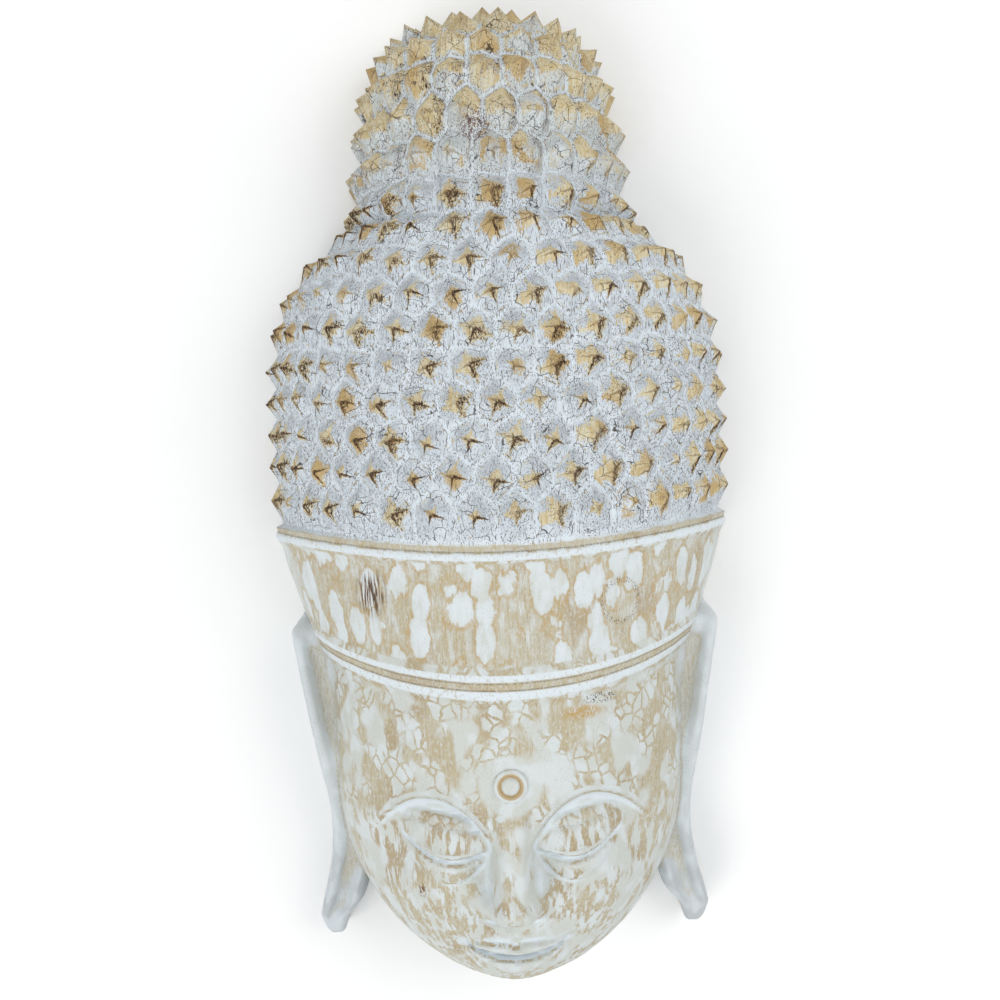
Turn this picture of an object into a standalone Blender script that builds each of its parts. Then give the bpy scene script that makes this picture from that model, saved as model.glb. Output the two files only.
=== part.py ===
"""Carved wooden Buddha mask, a decoration about half a metre long, lying on its flat back.

+X is to the viewer's right, +Y runs from the chin to the topknot and +Z comes out of the face. The mask is
one block of wood: hair of cut curls, a forehead band, the face, two long ears, and a hollow in the back.
"""

import math

import bmesh
import bpy
import numpy as np

# Driving sizes, in metres
MASK_LENGTH = 0.500
HAIR_HALF_WIDTH = 0.1140
HAIR_DEPTH = 0.1110
TOPKNOT_HALF_WIDTH = 0.0665
TOPKNOT_DEPTH = 0.0845
# The band stands out past the bottoms of the hair's grooves at the sides, narrows down to the tops of the
# ears, and lies back a little at the front, and the face lies back from the band
BAND_STAND_OUT = 0.0028
BAND_TAPER = 0.0076
BAND_SET_BACK = 0.0015
FACE_SET_BACK = 0.0015
BAND_HALF_WIDTH_TOP = HAIR_HALF_WIDTH + BAND_STAND_OUT
BAND_HALF_WIDTH_BOTTOM = BAND_HALF_WIDTH_TOP - BAND_TAPER
BAND_DEPTH = HAIR_DEPTH - BAND_SET_BACK
FACE_HALF_WIDTH = 0.0960
FACE_DEPTH = BAND_DEPTH - FACE_SET_BACK
WALL = 0.0220
RIM_HEIGHT = 0.0030
# One millimetre on a mask of this length: small relief is written in it, so it grows with the mask
MM = MASK_LENGTH / 500

# Curls: the spacing across a row, the spacing of the rows, and how far the tips stand out
CURL_PITCH = 0.0193
HAIR_ROW_PITCH = 0.0166
TOPKNOT_ROW_PITCH = 0.0195
HAIR_CURL_HEIGHT = 0.0062
TOPKNOT_CURL_HEIGHT = 0.0095
SADDLE_SHARE = 0.6
CURL_JITTER = 0.07
CURL_SEED = 11
# The rows of curls sag at the middle and climb at the sides
ROW_SAG = 0.0022
ROW_CLIMB = 0.0062
# How far each row is shifted sideways, in shares of the pitch, from the hairline up to the topknot
HAIR_ROW_SHIFTS = (0.35, -0.15, 0.35, 0.05, 0.42, 0.52, 0.0, 0.5, 0.05)
TOPKNOT_ROW_SHIFTS = (0.05, 0.1, 0.38, 0.0, 0.05, 0.45, 0.0, 0.5)

# Beads of the forehead band and the relief of the face
BEAD_HEIGHT = 0.0021
BROW_ARCH_HEIGHT = 0.0019
NOSE_HEIGHT = 0.0175
SOCKET_DEPTH = 0.0070
EYE_BULGE = 0.0068
LIP_HEIGHT = 0.0050
CHIN_HEIGHT = 0.0085
URNA_RADIUS = 0.0078
URNA_HEIGHT = 0.0020

# Ears: width, depth from the back plane, and the groove cut into their fronts
EAR_WIDTH = 0.0270
EAR_UPPER_DEPTH = 0.0540
EAR_LOBE_DEPTH = 0.0340
EAR_SCOOP = 0.0080
# Places round an ear: share of the way across from the outer edge, share of the depth, share of the groove
EAR_PROFILE = (
    (0.00, 0.50, 0.0),
    (0.03, 0.84, 0.0),
    (0.12, 1.00, 0.0),
    (0.24, 1.00, 0.1),
    (0.36, 1.00, 0.9),
    (0.52, 1.00, 1.0),
    (0.66, 1.00, 0.5),
    (0.78, 1.00, 0.0),
    (0.92, 0.92, 0.0),
    (1.00, 0.70, 0.0),
)

# Fineness of the mesh
LAST_ANGLE = math.radians(97)
BAND_COLUMNS = 30
FACE_COLUMNS = 48
BAND_CROWDING = 1.0
FACE_CROWDING = 0.42
EAR_RINGS = 14
URNA_SIDES = 18
HOLLOW_RINGS = 14
HOLLOW_POINTS = 18
SKIRT = 0.020

# Levels, as shares of the length above the chin
HAIRLINE = 0.469
FIRST_ROW = 0.494
TOPKNOT_FIRST_ROW = 0.782
TOPKNOT_APEX = 0.968
BAND_LINES = (0.4655, 0.461, 0.4556, 0.450, 0.434, 0.408, 0.380, 0.351, 0.3410, 0.3350, 0.3310, 0.3250, 0.318)
BAND_BEADS = ((0.4665, 0.0046, 0.5), (0.4556, 0.0048, 1.0), (0.3410, 0.0048, 1.0), (0.3250, 0.0050, 0.8))
BAND_GROOVES = ((0.4725, 0.0022, 0.5), (0.4612, 0.0016, 0.5), (0.3330, 0.0040, 0.4))
BAND_LOW = 0.328
BAND_RISE = 0.0350
BROW = BAND_LOW * 2 / 3
NOSE_BASE = BAND_LOW / 3
EYE = BROW - 0.036
MOUTH = NOSE_BASE * 2 / 3
LID = EYE - 0.0124
# Rows of the face from the band to the chin, each measured from the nearest of these levels
FOREHEAD_ROWS = (0.309, 0.296, 0.276, 0.256, 0.240)
EYE_ROWS = (
    0.006, 0.0, -0.005, -0.011, -0.018, -0.025, -0.032, -0.039, -0.044, -0.0475, -0.0510, -0.0560, -0.063,
)
NOSE_ROWS = (0.040, 0.028, 0.018, 0.011, 0.005, 0.0, -0.005)
MOUTH_ROWS = (0.021, 0.0160, 0.011, 0.006, 0.002, -0.002, -0.008, -0.014, -0.020, -0.028)
CHIN_ROWS = (0.034, 0.024, 0.015, 0.008, 0.003)
EAR_TOP = 0.384
LOBE_TIP = 0.036
HOLLOW_TOP = 0.790
HOLLOW_BOTTOM = 0.055

# Widths of the face: five eye widths across, and what is set out from them
EYE_WIDTH = 2 * FACE_HALF_WIDTH * 0.82 / 5
NOSE_HALF_WIDTH = EYE_WIDTH / 2
MOUTH_HALF_WIDTH = 0.75 * EYE_WIDTH

WOOD_COLOUR = (0.74, 0.71, 0.63, 1.0)
WOOD_ROUGHNESS = 0.8


def level(share):
    """Y of a level given as a share of the mask's length above the chin."""
    return (share - 0.5) * MASK_LENGTH


def step(low, high, value):
    """Smooth step from 0 at low to 1 at high."""
    t = np.clip((value - low) / (high - low), 0, 1)
    return t * t * (3 - 2 * t)


def closing(t, exponent):
    """1 up to t = 0, then a superellipse quarter that closes to 0 at t = 1."""
    t = np.clip(t, 0, 1)
    return (1 - t**exponent) ** (1 / exponent)


def soft_max(p, q, softness):
    """The larger of two lengths, with a rounded change-over."""
    return 0.5 * (p + q + np.sqrt((p - q) ** 2 + softness**2))


def bump(x, y, centre, radii):
    """A smooth round rise of height 1 over an ellipse."""
    r = ((x - centre[0]) / radii[0]) ** 2 + ((y - centre[1]) / radii[1]) ** 2
    return np.exp(-1.6 * r)


def ridge(distance, width):
    """A narrow line of height 1 and the given width."""
    return np.exp(-((2.2 * distance / width) ** 2))


def hair_section(y):
    """Half-width and depth of the hair at y, measured at the bottom of the grooves."""
    dome = closing((y - level(0.590)) / (0.193 * MASK_LENGTH), 2.75)
    dome_depth = closing((y - level(0.560)) / (0.338 * MASK_LENGTH), 2.0)
    up = np.clip((y - level(0.800)) / ((TOPKNOT_APEX - 0.800) * MASK_LENGTH), 0, 1)
    knot = TOPKNOT_HALF_WIDTH * (1 - 0.17 * up) * closing(up, 4.5)
    knot_depth = TOPKNOT_DEPTH * closing(up, 2.8)
    softness = 4 * MM * closing((y - level(0.80)) / (0.10 * MASK_LENGTH), 2)
    width = soft_max(HAIR_HALF_WIDTH * dome, knot, softness)
    depth = soft_max(HAIR_DEPTH * dome_depth, knot_depth, 0.6 * softness)
    return width, depth


def sag(angle):
    """How far a row of curls runs above its level, at an angle round the head."""
    return ROW_CLIMB * math.sin(1.35 * angle) ** 2 - ROW_SAG


def lower_section(y):
    """Half-width and depth of the band and the face on the line that crosses the centre at y."""
    face = FACE_HALF_WIDTH * closing((level(0.26) - y) / (0.26 * MASK_LENGTH), 2.1)
    face_depth = FACE_DEPTH * closing((level(0.30) - y) / (0.30 * MASK_LENGTH), 2.7)
    down = np.clip((level(HAIRLINE) - y) / (level(HAIRLINE) - level(0.384)), 0, None)
    band = BAND_HALF_WIDTH_TOP + (BAND_HALF_WIDTH_BOTTOM - BAND_HALF_WIDTH_TOP) * down**1.4
    in_band = step(level(BAND_LOW - 0.022), level(BAND_LOW + 0.006), y)
    return face + (band - face) * in_band, face_depth + (BAND_DEPTH - face_depth) * in_band


def surface_point(y, angle, width, depth, normal, height=0.0):
    """A point of a half-ring, moved outwards by height."""
    base = np.array([width * math.sin(angle), y, RIM_HEIGHT + depth * math.cos(angle)])
    return base + height * normal


def ring_normal(angle, width, depth, width_slope, depth_slope):
    """Outward direction of the surface that half-rings of changing size make."""
    s, c = math.sin(angle), math.cos(angle)
    slope = s * s * width_slope * depth + c * c * depth_slope * width
    n = np.array([s * depth, -slope, c * width])
    return n / max(np.linalg.norm(n), 1e-9)


class HairSurface:
    """The hair's ground form, addressed by the distance up its centre line and the angle round it."""

    def __init__(self, samples=800):
        turn = np.linspace(0, math.pi / 2, samples)
        low, high = level(HAIRLINE) - 12 * MM, level(TOPKNOT_APEX)
        self.y = low + (high - low) * np.sin(turn)
        self.width, self.depth = hair_section(self.y)
        self.width[-1] = self.depth[-1] = 0.0
        steps = np.hypot(np.diff(self.y), np.diff(self.depth))
        along = np.concatenate([[0.0], np.cumsum(steps)])
        self.up = along - np.interp(level(HAIRLINE), self.y, along)
        self.top = self.up[-1]
        self.neck = self.height_up(level(TOPKNOT_FIRST_ROW))

    def height_up(self, y):
        """Distance up the centre line at y."""
        return float(np.interp(y, self.y, self.up))

    def sizes(self, up):
        """Y, half-width and depth at a distance up the centre line."""
        return [float(np.interp(up, self.up, a)) for a in (self.y, self.width, self.depth)]

    def point(self, up, angle, height=0.0):
        up += sag(angle) * float(step(self.neck, self.neck - 40 * MM, up))
        y, width, depth = self.sizes(up)
        gap = 1.5 * MM
        before, after = self.sizes(up - gap), self.sizes(min(up + gap, self.top))
        rise = max(after[0] - before[0], 1e-7)
        slopes = [(after[k] - before[k]) / rise for k in (1, 2)]
        near_top = step(self.top - 6 * MM, self.top, up)
        normal = ring_normal(angle, max(width, 1e-6), max(depth, 1e-6), *slopes)
        normal = normal * (1 - near_top) + np.array([0.0, 1.0, 0.0]) * near_top
        return surface_point(y, angle, width, depth, normal, height)

    def angle_at(self, up, distance, height):
        """Angle at a distance along the row, measured at the curl tips from the centre."""
        _, width, depth = self.sizes(up)
        angles = np.linspace(0, math.radians(125), 200)
        x, z = (width + height) * np.sin(angles), (depth + height) * np.cos(angles)
        along = np.concatenate([[0.0], np.cumsum(np.hypot(np.diff(x), np.diff(z)))])
        return math.copysign(float(np.interp(abs(distance), along, angles)), distance)

    def speed(self, up, angle):
        """Length along the row for each radian."""
        _, width, depth = self.sizes(up)
        return math.hypot(width * math.cos(angle), depth * math.sin(angle))


def curl_rows(surface):
    """Rows of curls from the hairline up, each a list of (distance up, angle, height)."""
    levels = []
    start = surface.height_up(level(FIRST_ROW))
    knot_start = surface.height_up(level(TOPKNOT_FIRST_ROW))
    for k, shift in enumerate(HAIR_ROW_SHIFTS):
        levels.append((start + k * HAIR_ROW_PITCH, shift, HAIR_CURL_HEIGHT))
    for k, shift in enumerate(TOPKNOT_ROW_SHIFTS):
        levels.append((knot_start + k * TOPKNOT_ROW_PITCH, shift, TOPKNOT_CURL_HEIGHT))
    rng = np.random.RandomState(CURL_SEED)
    rows = []
    for up, shift, height in levels:
        if up > surface.top - 0.5 * TOPKNOT_ROW_PITCH:
            break
        if rows and up - rows[-1][0][0] < 0.6 * HAIR_ROW_PITCH:
            continue
        rows.append(one_row(surface, up, shift, height, rng))
    rows.append([(surface.top, None, TOPKNOT_CURL_HEIGHT)])
    return rows


def one_row(surface, up, shift, height, rng):
    """The curls of one row, from left to right, one past the back plane on each side."""
    most = 40
    row = []
    for k in range(-most, most + 1):
        along, lift, grow = rng.uniform(-CURL_JITTER, CURL_JITTER, 3)
        angle = surface.angle_at(up, (k + shift + along) * CURL_PITCH, height)
        row.append((up + lift * HAIR_ROW_PITCH, angle, height * (1 + 1.5 * grow)))
    past = math.radians(92)
    inside = [k for k, curl in enumerate(row) if abs(curl[1]) < past]
    return row[inside[0] - 1 : inside[-1] + 2]


def strip(lower, upper):
    """Triangles of places between two rows: (row, place), with the pair that shares a row first."""
    i = j = 0
    while i < len(lower) - 1 or j < len(upper) - 1:
        if j == len(upper) - 1:
            forward = True
        elif i == len(lower) - 1:
            forward = False
        else:
            forward = abs(lower[i + 1] - upper[j]) < abs(lower[i] - upper[j + 1])
        if forward:
            yield (0, i), (0, i + 1), (1, j)
            i += 1
        else:
            yield (1, j), (1, j + 1), (0, i)
            j += 1


class Carving:
    """A sheet of vertices and triangles that becomes the front of the mask."""

    def __init__(self):
        self.bm = bmesh.new()

    def vertex(self, place):
        return self.bm.verts.new([float(c) for c in place])

    def face(self, *verts):
        if len(set(verts)) == 3:
            self.bm.faces.new(verts)

    def zip_rows(self, lower, upper):
        """Joins two rows of (angle, vertex) with triangles."""
        rows = (lower, upper)
        for trio in strip([a for a, _ in lower], [a for a, _ in upper]):
            self.face(*[rows[r][k][1] for r, k in trio])


def carve_hair(sheet):
    """Adds the curls and returns the row of vertices along the hairline."""
    surface = HairSurface()
    rows = curl_rows(surface)
    tips = [[sheet.vertex(surface.point(up, a or 0.0, h)) for up, a, h in row] for row in rows]
    middles = {}

    def middle(p, q):
        """The saddle between two neighbouring curls."""
        key = (min(p, q), max(p, q))
        if key not in middles:
            (up_p, a_p, h_p), (up_q, a_q, h_q) = rows[p[0]][p[1]], rows[q[0]][q[1]]
            a_p = a_q if a_p is None else a_p
            a_q = a_p if a_q is None else a_q
            up, angle = (up_p + up_q) / 2, (a_p + a_q) / 2
            apart = abs(a_p - a_q) * surface.speed(up, angle) + abs(up_p - up_q)
            row_pitch = TOPKNOT_ROW_PITCH if h_p > 1.25 * HAIR_CURL_HEIGHT else HAIR_ROW_PITCH
            reach = (CURL_PITCH / 2 + row_pitch) / 2
            height = SADDLE_SHARE * (h_p + h_q) / 2 * max(0.0, 1 - apart / 2 / reach)
            middles[key] = sheet.vertex(surface.point(up, angle, height))
        return middles[key]

    for r in range(len(rows) - 1):
        pair = rows[r], rows[r + 1]
        angles = [[0.0 if a is None else a for _, a, _ in row] for row in pair]
        for trio in strip(*angles):
            (up_p, a_p, _), (up_q, a_q, _), (up_s, a_s, _) = [pair[k][i] for k, i in trio]
            angle = (a_p + a_q) / 2
            pair_up = (up_p + up_q) / 2
            rise = abs(up_s - pair_up)
            speed = surface.speed(pair_up, angle)
            half = abs(a_p - a_q) * speed / 2
            off = 0.0 if a_s is None else abs(a_s - angle) * speed
            share = min(max((rise + off - half) / 2 / rise, 0.12), 0.8 * half / (half + off))
            groove = sheet.vertex(surface.point(pair_up + (up_s - pair_up) * share, angle))
            keys = [(r + k, i) for k, i in trio]
            for p, q in ((0, 1), (1, 2), (2, 0)):
                saddle = middle(keys[p], keys[q])
                for key in (keys[p], keys[q]):
                    sheet.face(tips[key[0]][key[1]], saddle, groove)
    hem = []
    for k, (_, angle, _) in enumerate(rows[0]):
        hem.append((angle, sheet.vertex(surface.point(0.0, angle))))
        if k + 1 < len(rows[0]):
            between = (angle + rows[0][k + 1][1]) / 2
            hem.append((between, sheet.vertex(surface.point(0.0, between))))
    for k in range(len(rows[0]) - 1):
        saddle = middle((0, k), (0, k + 1))
        below, between, after = (hem[2 * k + n][1] for n in range(3))
        left, right = tips[0][k], tips[0][k + 1]
        for corner, foot in ((left, below), (right, after)):
            sheet.face(corner, saddle, between)
            sheet.face(corner, between, foot)
    return hem


def band_relief(y):
    """Beads and grooves of the forehead band on the line that crosses the centre at y."""
    raised = sum(BEAD_HEIGHT * share * ridge(y - level(at), 2 * width) for at, width, share in BAND_BEADS)
    cut = sum(BEAD_HEIGHT * share * ridge(y - level(at), 2 * width) for at, width, share in BAND_GROOVES)
    return raised - cut


def brow_line(ax):
    """Y of the brow at a distance from the centre: an arch from the nose root to the temple."""
    t = np.clip((ax - 0.30 * EYE_WIDTH) / (1.85 * EYE_WIDTH), 0, 1)
    inner = 20 * MM * (1 - t / 0.46) ** 2 * (t < 0.46)
    outer = 19 * MM * ((t - 0.46) / 0.54) ** 2 * (t >= 0.46)
    return level(BROW) + 6.2 * MM - inner - outer


def lid_line(ax):
    """Y of the lowered upper lid's edge."""
    t = np.clip((ax - EYE_WIDTH) / EYE_WIDTH, -0.62, 0.75)
    return level(LID) + 15 * MM * t**2 + 4.6 * MM * t


def mouth_line(ax):
    """Y where the lips meet, rising a little to the corners."""
    t = np.clip(ax / MOUTH_HALF_WIDTH, 0, 1.2)
    return level(MOUTH) - 1 * MM + 3.4 * MM * t**2


def feature_shift(share, ax):
    """How far a row of the face leaves its level to follow the brow, the lids and the mouth."""
    shares = [level(at) for at in (0.0, MOUTH - 0.02, MOUTH, NOSE_BASE, LID, BROW, 0.30)]
    fade = 1 - step(1.45 * EYE_WIDTH, 2.30 * EYE_WIDTH, ax)
    lid, brow = fade * (lid_line(ax) - level(LID)), fade * (brow_line(ax) - level(BROW))
    mouth = fade * (mouth_line(ax) - level(MOUTH))
    return float(np.interp(level(share), shares, (0.0, mouth, mouth, 0.0, lid, brow, 0.0)))


def eye_relief(ax, y):
    """The socket under the brow, the lid over the eye and the slit below it."""
    side = (ax - EYE_WIDTH) / EYE_WIDTH
    below = brow_line(ax) - y
    across = step(-0.95, -0.45, side) * (1 - step(0.40, 1.60, side))
    socket = across * step(0.0, 6.5 * MM, below) * (1 - step(20 * MM, 44 * MM, below))
    arch = step(-0.80, -0.55, side) * (1 - step(0.75, 1.10, side))
    over = y - lid_line(ax)
    ball = (side / 0.66) ** 2 + ((over - 3.5 * MM) / (16.5 * MM)) ** 2
    bulge = np.clip(1 - ball, 0, 1) ** 0.7
    lid = step(-0.66, -0.50, side) * (1 - step(0.52, 0.70, side))
    slit = ridge(over + 1.4 * MM, 3.4 * MM) * lid
    lower = ridge(over + 5.4 * MM, 6 * MM) * lid
    rim = ridge(over - 0.8 * MM, 3 * MM) * lid
    fold = 12.5 * MM * np.clip(1 - (side / 0.74) ** 2, 0, 1) ** 0.5
    crease = ridge(over - fold - 1.5 * MM, 3 * MM) * lid
    eye = EYE_BULGE * bulge - 2.8 * MM * slit + 0.6 * MM * lower + 1.1 * MM * rim - 1.2 * MM * crease
    return eye - SOCKET_DEPTH * socket + BROW_ARCH_HEIGHT * ridge(below, 5.2 * MM) * arch


def nose_relief(ax, y):
    """A straight nose: a narrow ridge between sloping flanks, a round tip, two wings and the nostrils."""
    root, tip, base = level(BROW) - 2 * MM, level(NOSE_BASE) + 8 * MM, level(NOSE_BASE)
    down = np.clip((root - y) / (root - tip), 0, 1)
    starts = step(root + 14 * MM, root - 6 * MM, y)
    ends = closing((tip + 1 * MM - y) / (tip + 2 * MM - base), 2.4)
    ridge_half = NOSE_HALF_WIDTH * (0.18 + 0.12 * down)
    flank = NOSE_HALF_WIDTH * (0.66 + 0.20 * down)
    section = 1 - step(0, 1, np.clip((ax - ridge_half) / (flank - ridge_half), 0, 1))
    bridge = NOSE_HEIGHT * (0.22 + 0.78 * down**1.2) * section * starts * ends
    ball = 2.2 * MM * bump(ax, y, (0, tip - 1 * MM), (10 * MM, 9 * MM))
    wings = 8.6 * MM * bump(ax, y, (0.70 * NOSE_HALF_WIDTH, base + 6.6 * MM), (6.8 * MM, 7.6 * MM))
    nostrils = 4.4 * MM * bump(ax, y, (0.44 * NOSE_HALF_WIDTH, base + 0.4 * MM), (4.6 * MM, 3 * MM))
    return bridge + (ball + wings) * ends - nostrils


def mouth_relief(ax, y):
    """Closed lips with a faint smile, the groove above them and the soft rise round them."""
    over = y - mouth_line(ax)
    t = ax / MOUTH_HALF_WIDTH
    inside = np.clip(1 - t**2, 0, 1)
    upper_edge = 7.8 * MM * inside**0.75 * (1 - 0.22 * ridge(ax, 8 * MM)) + 0.01 * MM
    lower_edge = 10 * MM * inside**0.60 + 0.01 * MM
    upper = np.clip(over / upper_edge, 0, 1)
    lower = np.clip(-over / lower_edge, 0, 1)
    lips = LIP_HEIGHT * (upper * (1 - upper) * 3.2 + lower * (1 - lower) * 4.2) * inside**0.35
    seam = 2.6 * MM * ridge(over, 3.2 * MM) * (1 - step(0.96, 1.14, t))
    muzzle = 6.6 * MM * bump(ax, y, (0, level(MOUTH)), (1.30 * EYE_WIDTH, 27 * MM))
    corner = 3 * MM * bump(ax, y, (1.10 * MOUTH_HALF_WIDTH, level(MOUTH) + 2.8 * MM), (5.2 * MM, 6.2 * MM))
    above = step(7.4 * MM, 10 * MM, over) * step(20 * MM, 15 * MM, over)
    return muzzle + lips - seam - corner - 1.4 * MM * ridge(ax, 6.6 * MM) * above


def face_relief(x, y):
    """How far the face's carving stands out of its ground form."""
    ax = np.abs(x)
    chin = CHIN_HEIGHT * bump(ax, y, (0, level(0.046)), (25 * MM, 18 * MM))
    furrow = 3.4 * MM * bump(ax, y, (0, level(MOUTH) - 15.2 * MM), (19 * MM, 5.2 * MM))
    cheek = 4.6 * MM * bump(ax, y, (1.55 * EYE_WIDTH, level(NOSE_BASE) + 14 * MM), (31 * MM, 32 * MM))
    relief = eye_relief(ax, y) + nose_relief(ax, y) + mouth_relief(ax, y) + chin - furrow + cheek
    return relief * (1 - step(0.74, 0.96, ax / FACE_HALF_WIDTH)) * (1 - step(level(0.294), level(0.316), y))


def face_shares():
    """Levels of the rows of the face, as shares of the length above the chin."""
    eyes = [BROW + d for d in EYE_ROWS]
    nose = [NOSE_BASE + d for d in NOSE_ROWS if NOSE_BASE + d < eyes[-1] - 0.004]
    mouth = [MOUTH + d for d in MOUTH_ROWS if MOUTH + d < nose[-1] - 0.002]
    chin = [share for share in CHIN_ROWS if share < mouth[-1] - 0.002]
    return [*FOREHEAD_ROWS, *eyes, *nose, *mouth, *chin]


def column_angles(columns, crowding):
    """Angles of the columns, closer together near the centre line when crowding is below 1."""
    t = np.linspace(-1, 1, columns + 1)
    return LAST_ANGLE * (crowding * t + (1 - crowding) * t**3)


def lower_point(share, angle):
    """A point of the band or the face."""
    width, _ = lower_section(level(share))
    centre_y = level(share)
    if share < FOREHEAD_ROWS[0]:
        centre_y += feature_shift(share, abs(width * math.sin(angle)))
    gap = 0.8 * MM
    width, depth = lower_section(centre_y)
    wide, deep = lower_section(centre_y + gap)
    slim, flat = lower_section(centre_y - gap)
    slopes = (wide - slim) / (2 * gap), (deep - flat) / (2 * gap)
    normal = ring_normal(angle, max(width, 1e-6), max(depth, 1e-6), *slopes)
    low = step(level(HAIRLINE), level(BAND_LOW), centre_y)
    rise = BAND_RISE * MASK_LENGTH * low * step(level(EYE), level(BAND_LOW), centre_y) * math.sin(angle) ** 2
    y = centre_y + rise + sag(angle) * (1 - low)
    place = surface_point(y, angle, width, depth, normal, band_relief(centre_y))
    return place + face_relief(place[0], centre_y) * np.array([0.0, 0.0, 1.0])


def carve_lower(sheet, hem):
    """Adds the band and the face below the hairline, down to the chin."""
    above = hem
    band = column_angles(BAND_COLUMNS, BAND_CROWDING)
    face = column_angles(FACE_COLUMNS, FACE_CROWDING)
    rows = [(share, band) for share in BAND_LINES[:-1]]
    rows += [(share, face) for share in (BAND_LINES[-1], *face_shares())]
    for share, angles in rows:
        row = [(float(a), sheet.vertex(lower_point(share, float(a)))) for a in angles]
        sheet.zip_rows(row, above)
        above = row
    pole = sheet.vertex((0.0, level(0.0), RIM_HEIGHT))
    sheet.zip_rows([(0.0, pole)], above)


def close_back(sheet):
    """Cuts the sheet at the rim's top and closes it downwards, past the back plane."""
    bm = sheet.bm
    everything = bm.verts[:] + bm.edges[:] + bm.faces[:]
    rim = (0, 0, RIM_HEIGHT)
    bmesh.ops.bisect_plane(bm, geom=everything, dist=1e-6, plane_co=rim, plane_no=(0, 0, 1), clear_inner=True)
    bmesh.ops.remove_doubles(bm, verts=bm.verts[:], dist=2e-5)
    edge = [e for e in bm.edges if e.is_boundary]
    made = bmesh.ops.extrude_edge_only(bm, edges=edge)["geom"]
    lower = [v for v in made if isinstance(v, bmesh.types.BMVert)]
    for v in lower:
        v.co.z = -SKIRT
    bmesh.ops.holes_fill(bm, edges=[e for e in bm.edges if e.is_boundary], sides=0)
    bmesh.ops.recalc_face_normals(bm, faces=bm.faces[:])


def tube(rings, first_end, last_end):
    """A closed solid through rings of points, with a point at each end."""
    bm = bmesh.new()
    rows = [[bm.verts.new([float(c) for c in p]) for p in ring] for ring in rings]
    count = len(rows[0])
    for above, below in zip(rows, rows[1:]):
        for k in range(count):
            n = (k + 1) % count
            bm.faces.new((above[k], above[n], below[n], below[k]))
    for row, end in ((rows[0], first_end), (rows[-1], last_end)):
        pole = bm.verts.new([float(c) for c in end])
        for k in range(count):
            bm.faces.new((row[k], row[(k + 1) % count], pole))
    bmesh.ops.recalc_face_normals(bm, faces=bm.faces[:])
    return bm


def ear_outline(t):
    """Outer and inner distance from the centre, and depth, at a share of the way down the ear."""
    slant = BAND_HALF_WIDTH_BOTTOM + 0.8 * MM - 28.8 * MM * t
    flare = 20 * MM * float(np.clip((t - 0.50) / 0.42, 0, 1)) ** 2
    corner = -6 * MM * (1 - step(0.0, 0.05, t))
    outer = slant + flare + corner
    inner = outer - EAR_WIDTH + 5 * MM * step(0.66, 0.82, t) + 7 * MM * step(0.86, 0.98, t)
    depth = EAR_UPPER_DEPTH + (EAR_LOBE_DEPTH - EAR_UPPER_DEPTH) * step(0.30, 0.80, t)
    return outer, inner, depth


def ear_ring(t, side):
    """Points round the ear at a share of the way down, with the groove in its front."""
    outer, inner, depth = ear_outline(t)
    tip = closing((t - 0.84) / 0.16, 2.0)
    head = 0.55 + 0.45 * closing((0.09 - t) / 0.09, 2.0)
    middle, half = (outer + inner) / 2, (outer - inner) / 2 * (0.20 + 0.80 * tip)
    scoop = EAR_SCOOP * (step(0.02, 0.12, t) - 0.80 * step(0.28, 0.46, t) + 0.30 * step(0.64, 0.74, t))
    scoop *= 1 - step(0.88, 0.96, t)
    y = level(EAR_TOP) + (level(LOBE_TIP) - level(EAR_TOP)) * t
    ring = [(middle + half, -SKIRT)]
    for across, rise, cut in EAR_PROFILE:
        ring.append((middle + half * (1 - 2 * across), depth * rise * head * (0.4 + 0.6 * tip) - scoop * cut))
    ring.append((middle - half, -SKIRT))
    return [(side * x, y, z) for x, z in ring]


def ear(side):
    """One long ear, from beside the band to the free end of its lobe."""
    shares = [0.5 - 0.5 * math.cos(math.pi * (k + 0.7) / (EAR_RINGS + 0.4)) for k in range(EAR_RINGS)]
    rings = [ear_ring(t, side) for t in shares]
    outer, inner, _ = ear_outline(0.0)
    top = (side * (outer + inner) / 2, level(EAR_TOP), 0.0)
    outer, inner, _ = ear_outline(1.0)
    tip = (side * (outer + inner) / 2, level(LOBE_TIP), 0.0)
    return tube(rings, top, tip)


def urna():
    """The round mark between the brows: a low disc with a ring groove."""
    y = level(BROW) + 11 * MM
    _, depth = lower_section(y)
    ground = RIM_HEIGHT + depth + float(face_relief(0.0, y))
    profile = ((1.0, -3.0), (1.0, 0.6), (0.93, 0.95), (0.80, 1.0), (0.64, 0.25), (0.52, 0.25), (0.40, 0.85))
    rings = []
    for share, rise in profile:
        r, z = URNA_RADIUS * share, ground + rise * URNA_HEIGHT
        angles = [2 * math.pi * k / URNA_SIDES for k in range(URNA_SIDES)]
        rings.append([(r * math.cos(a), y + r * math.sin(a), z) for a in angles])
    return tube(rings, (0, y, ground - 6 * MM), (0, y, ground + URNA_HEIGHT))


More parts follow.
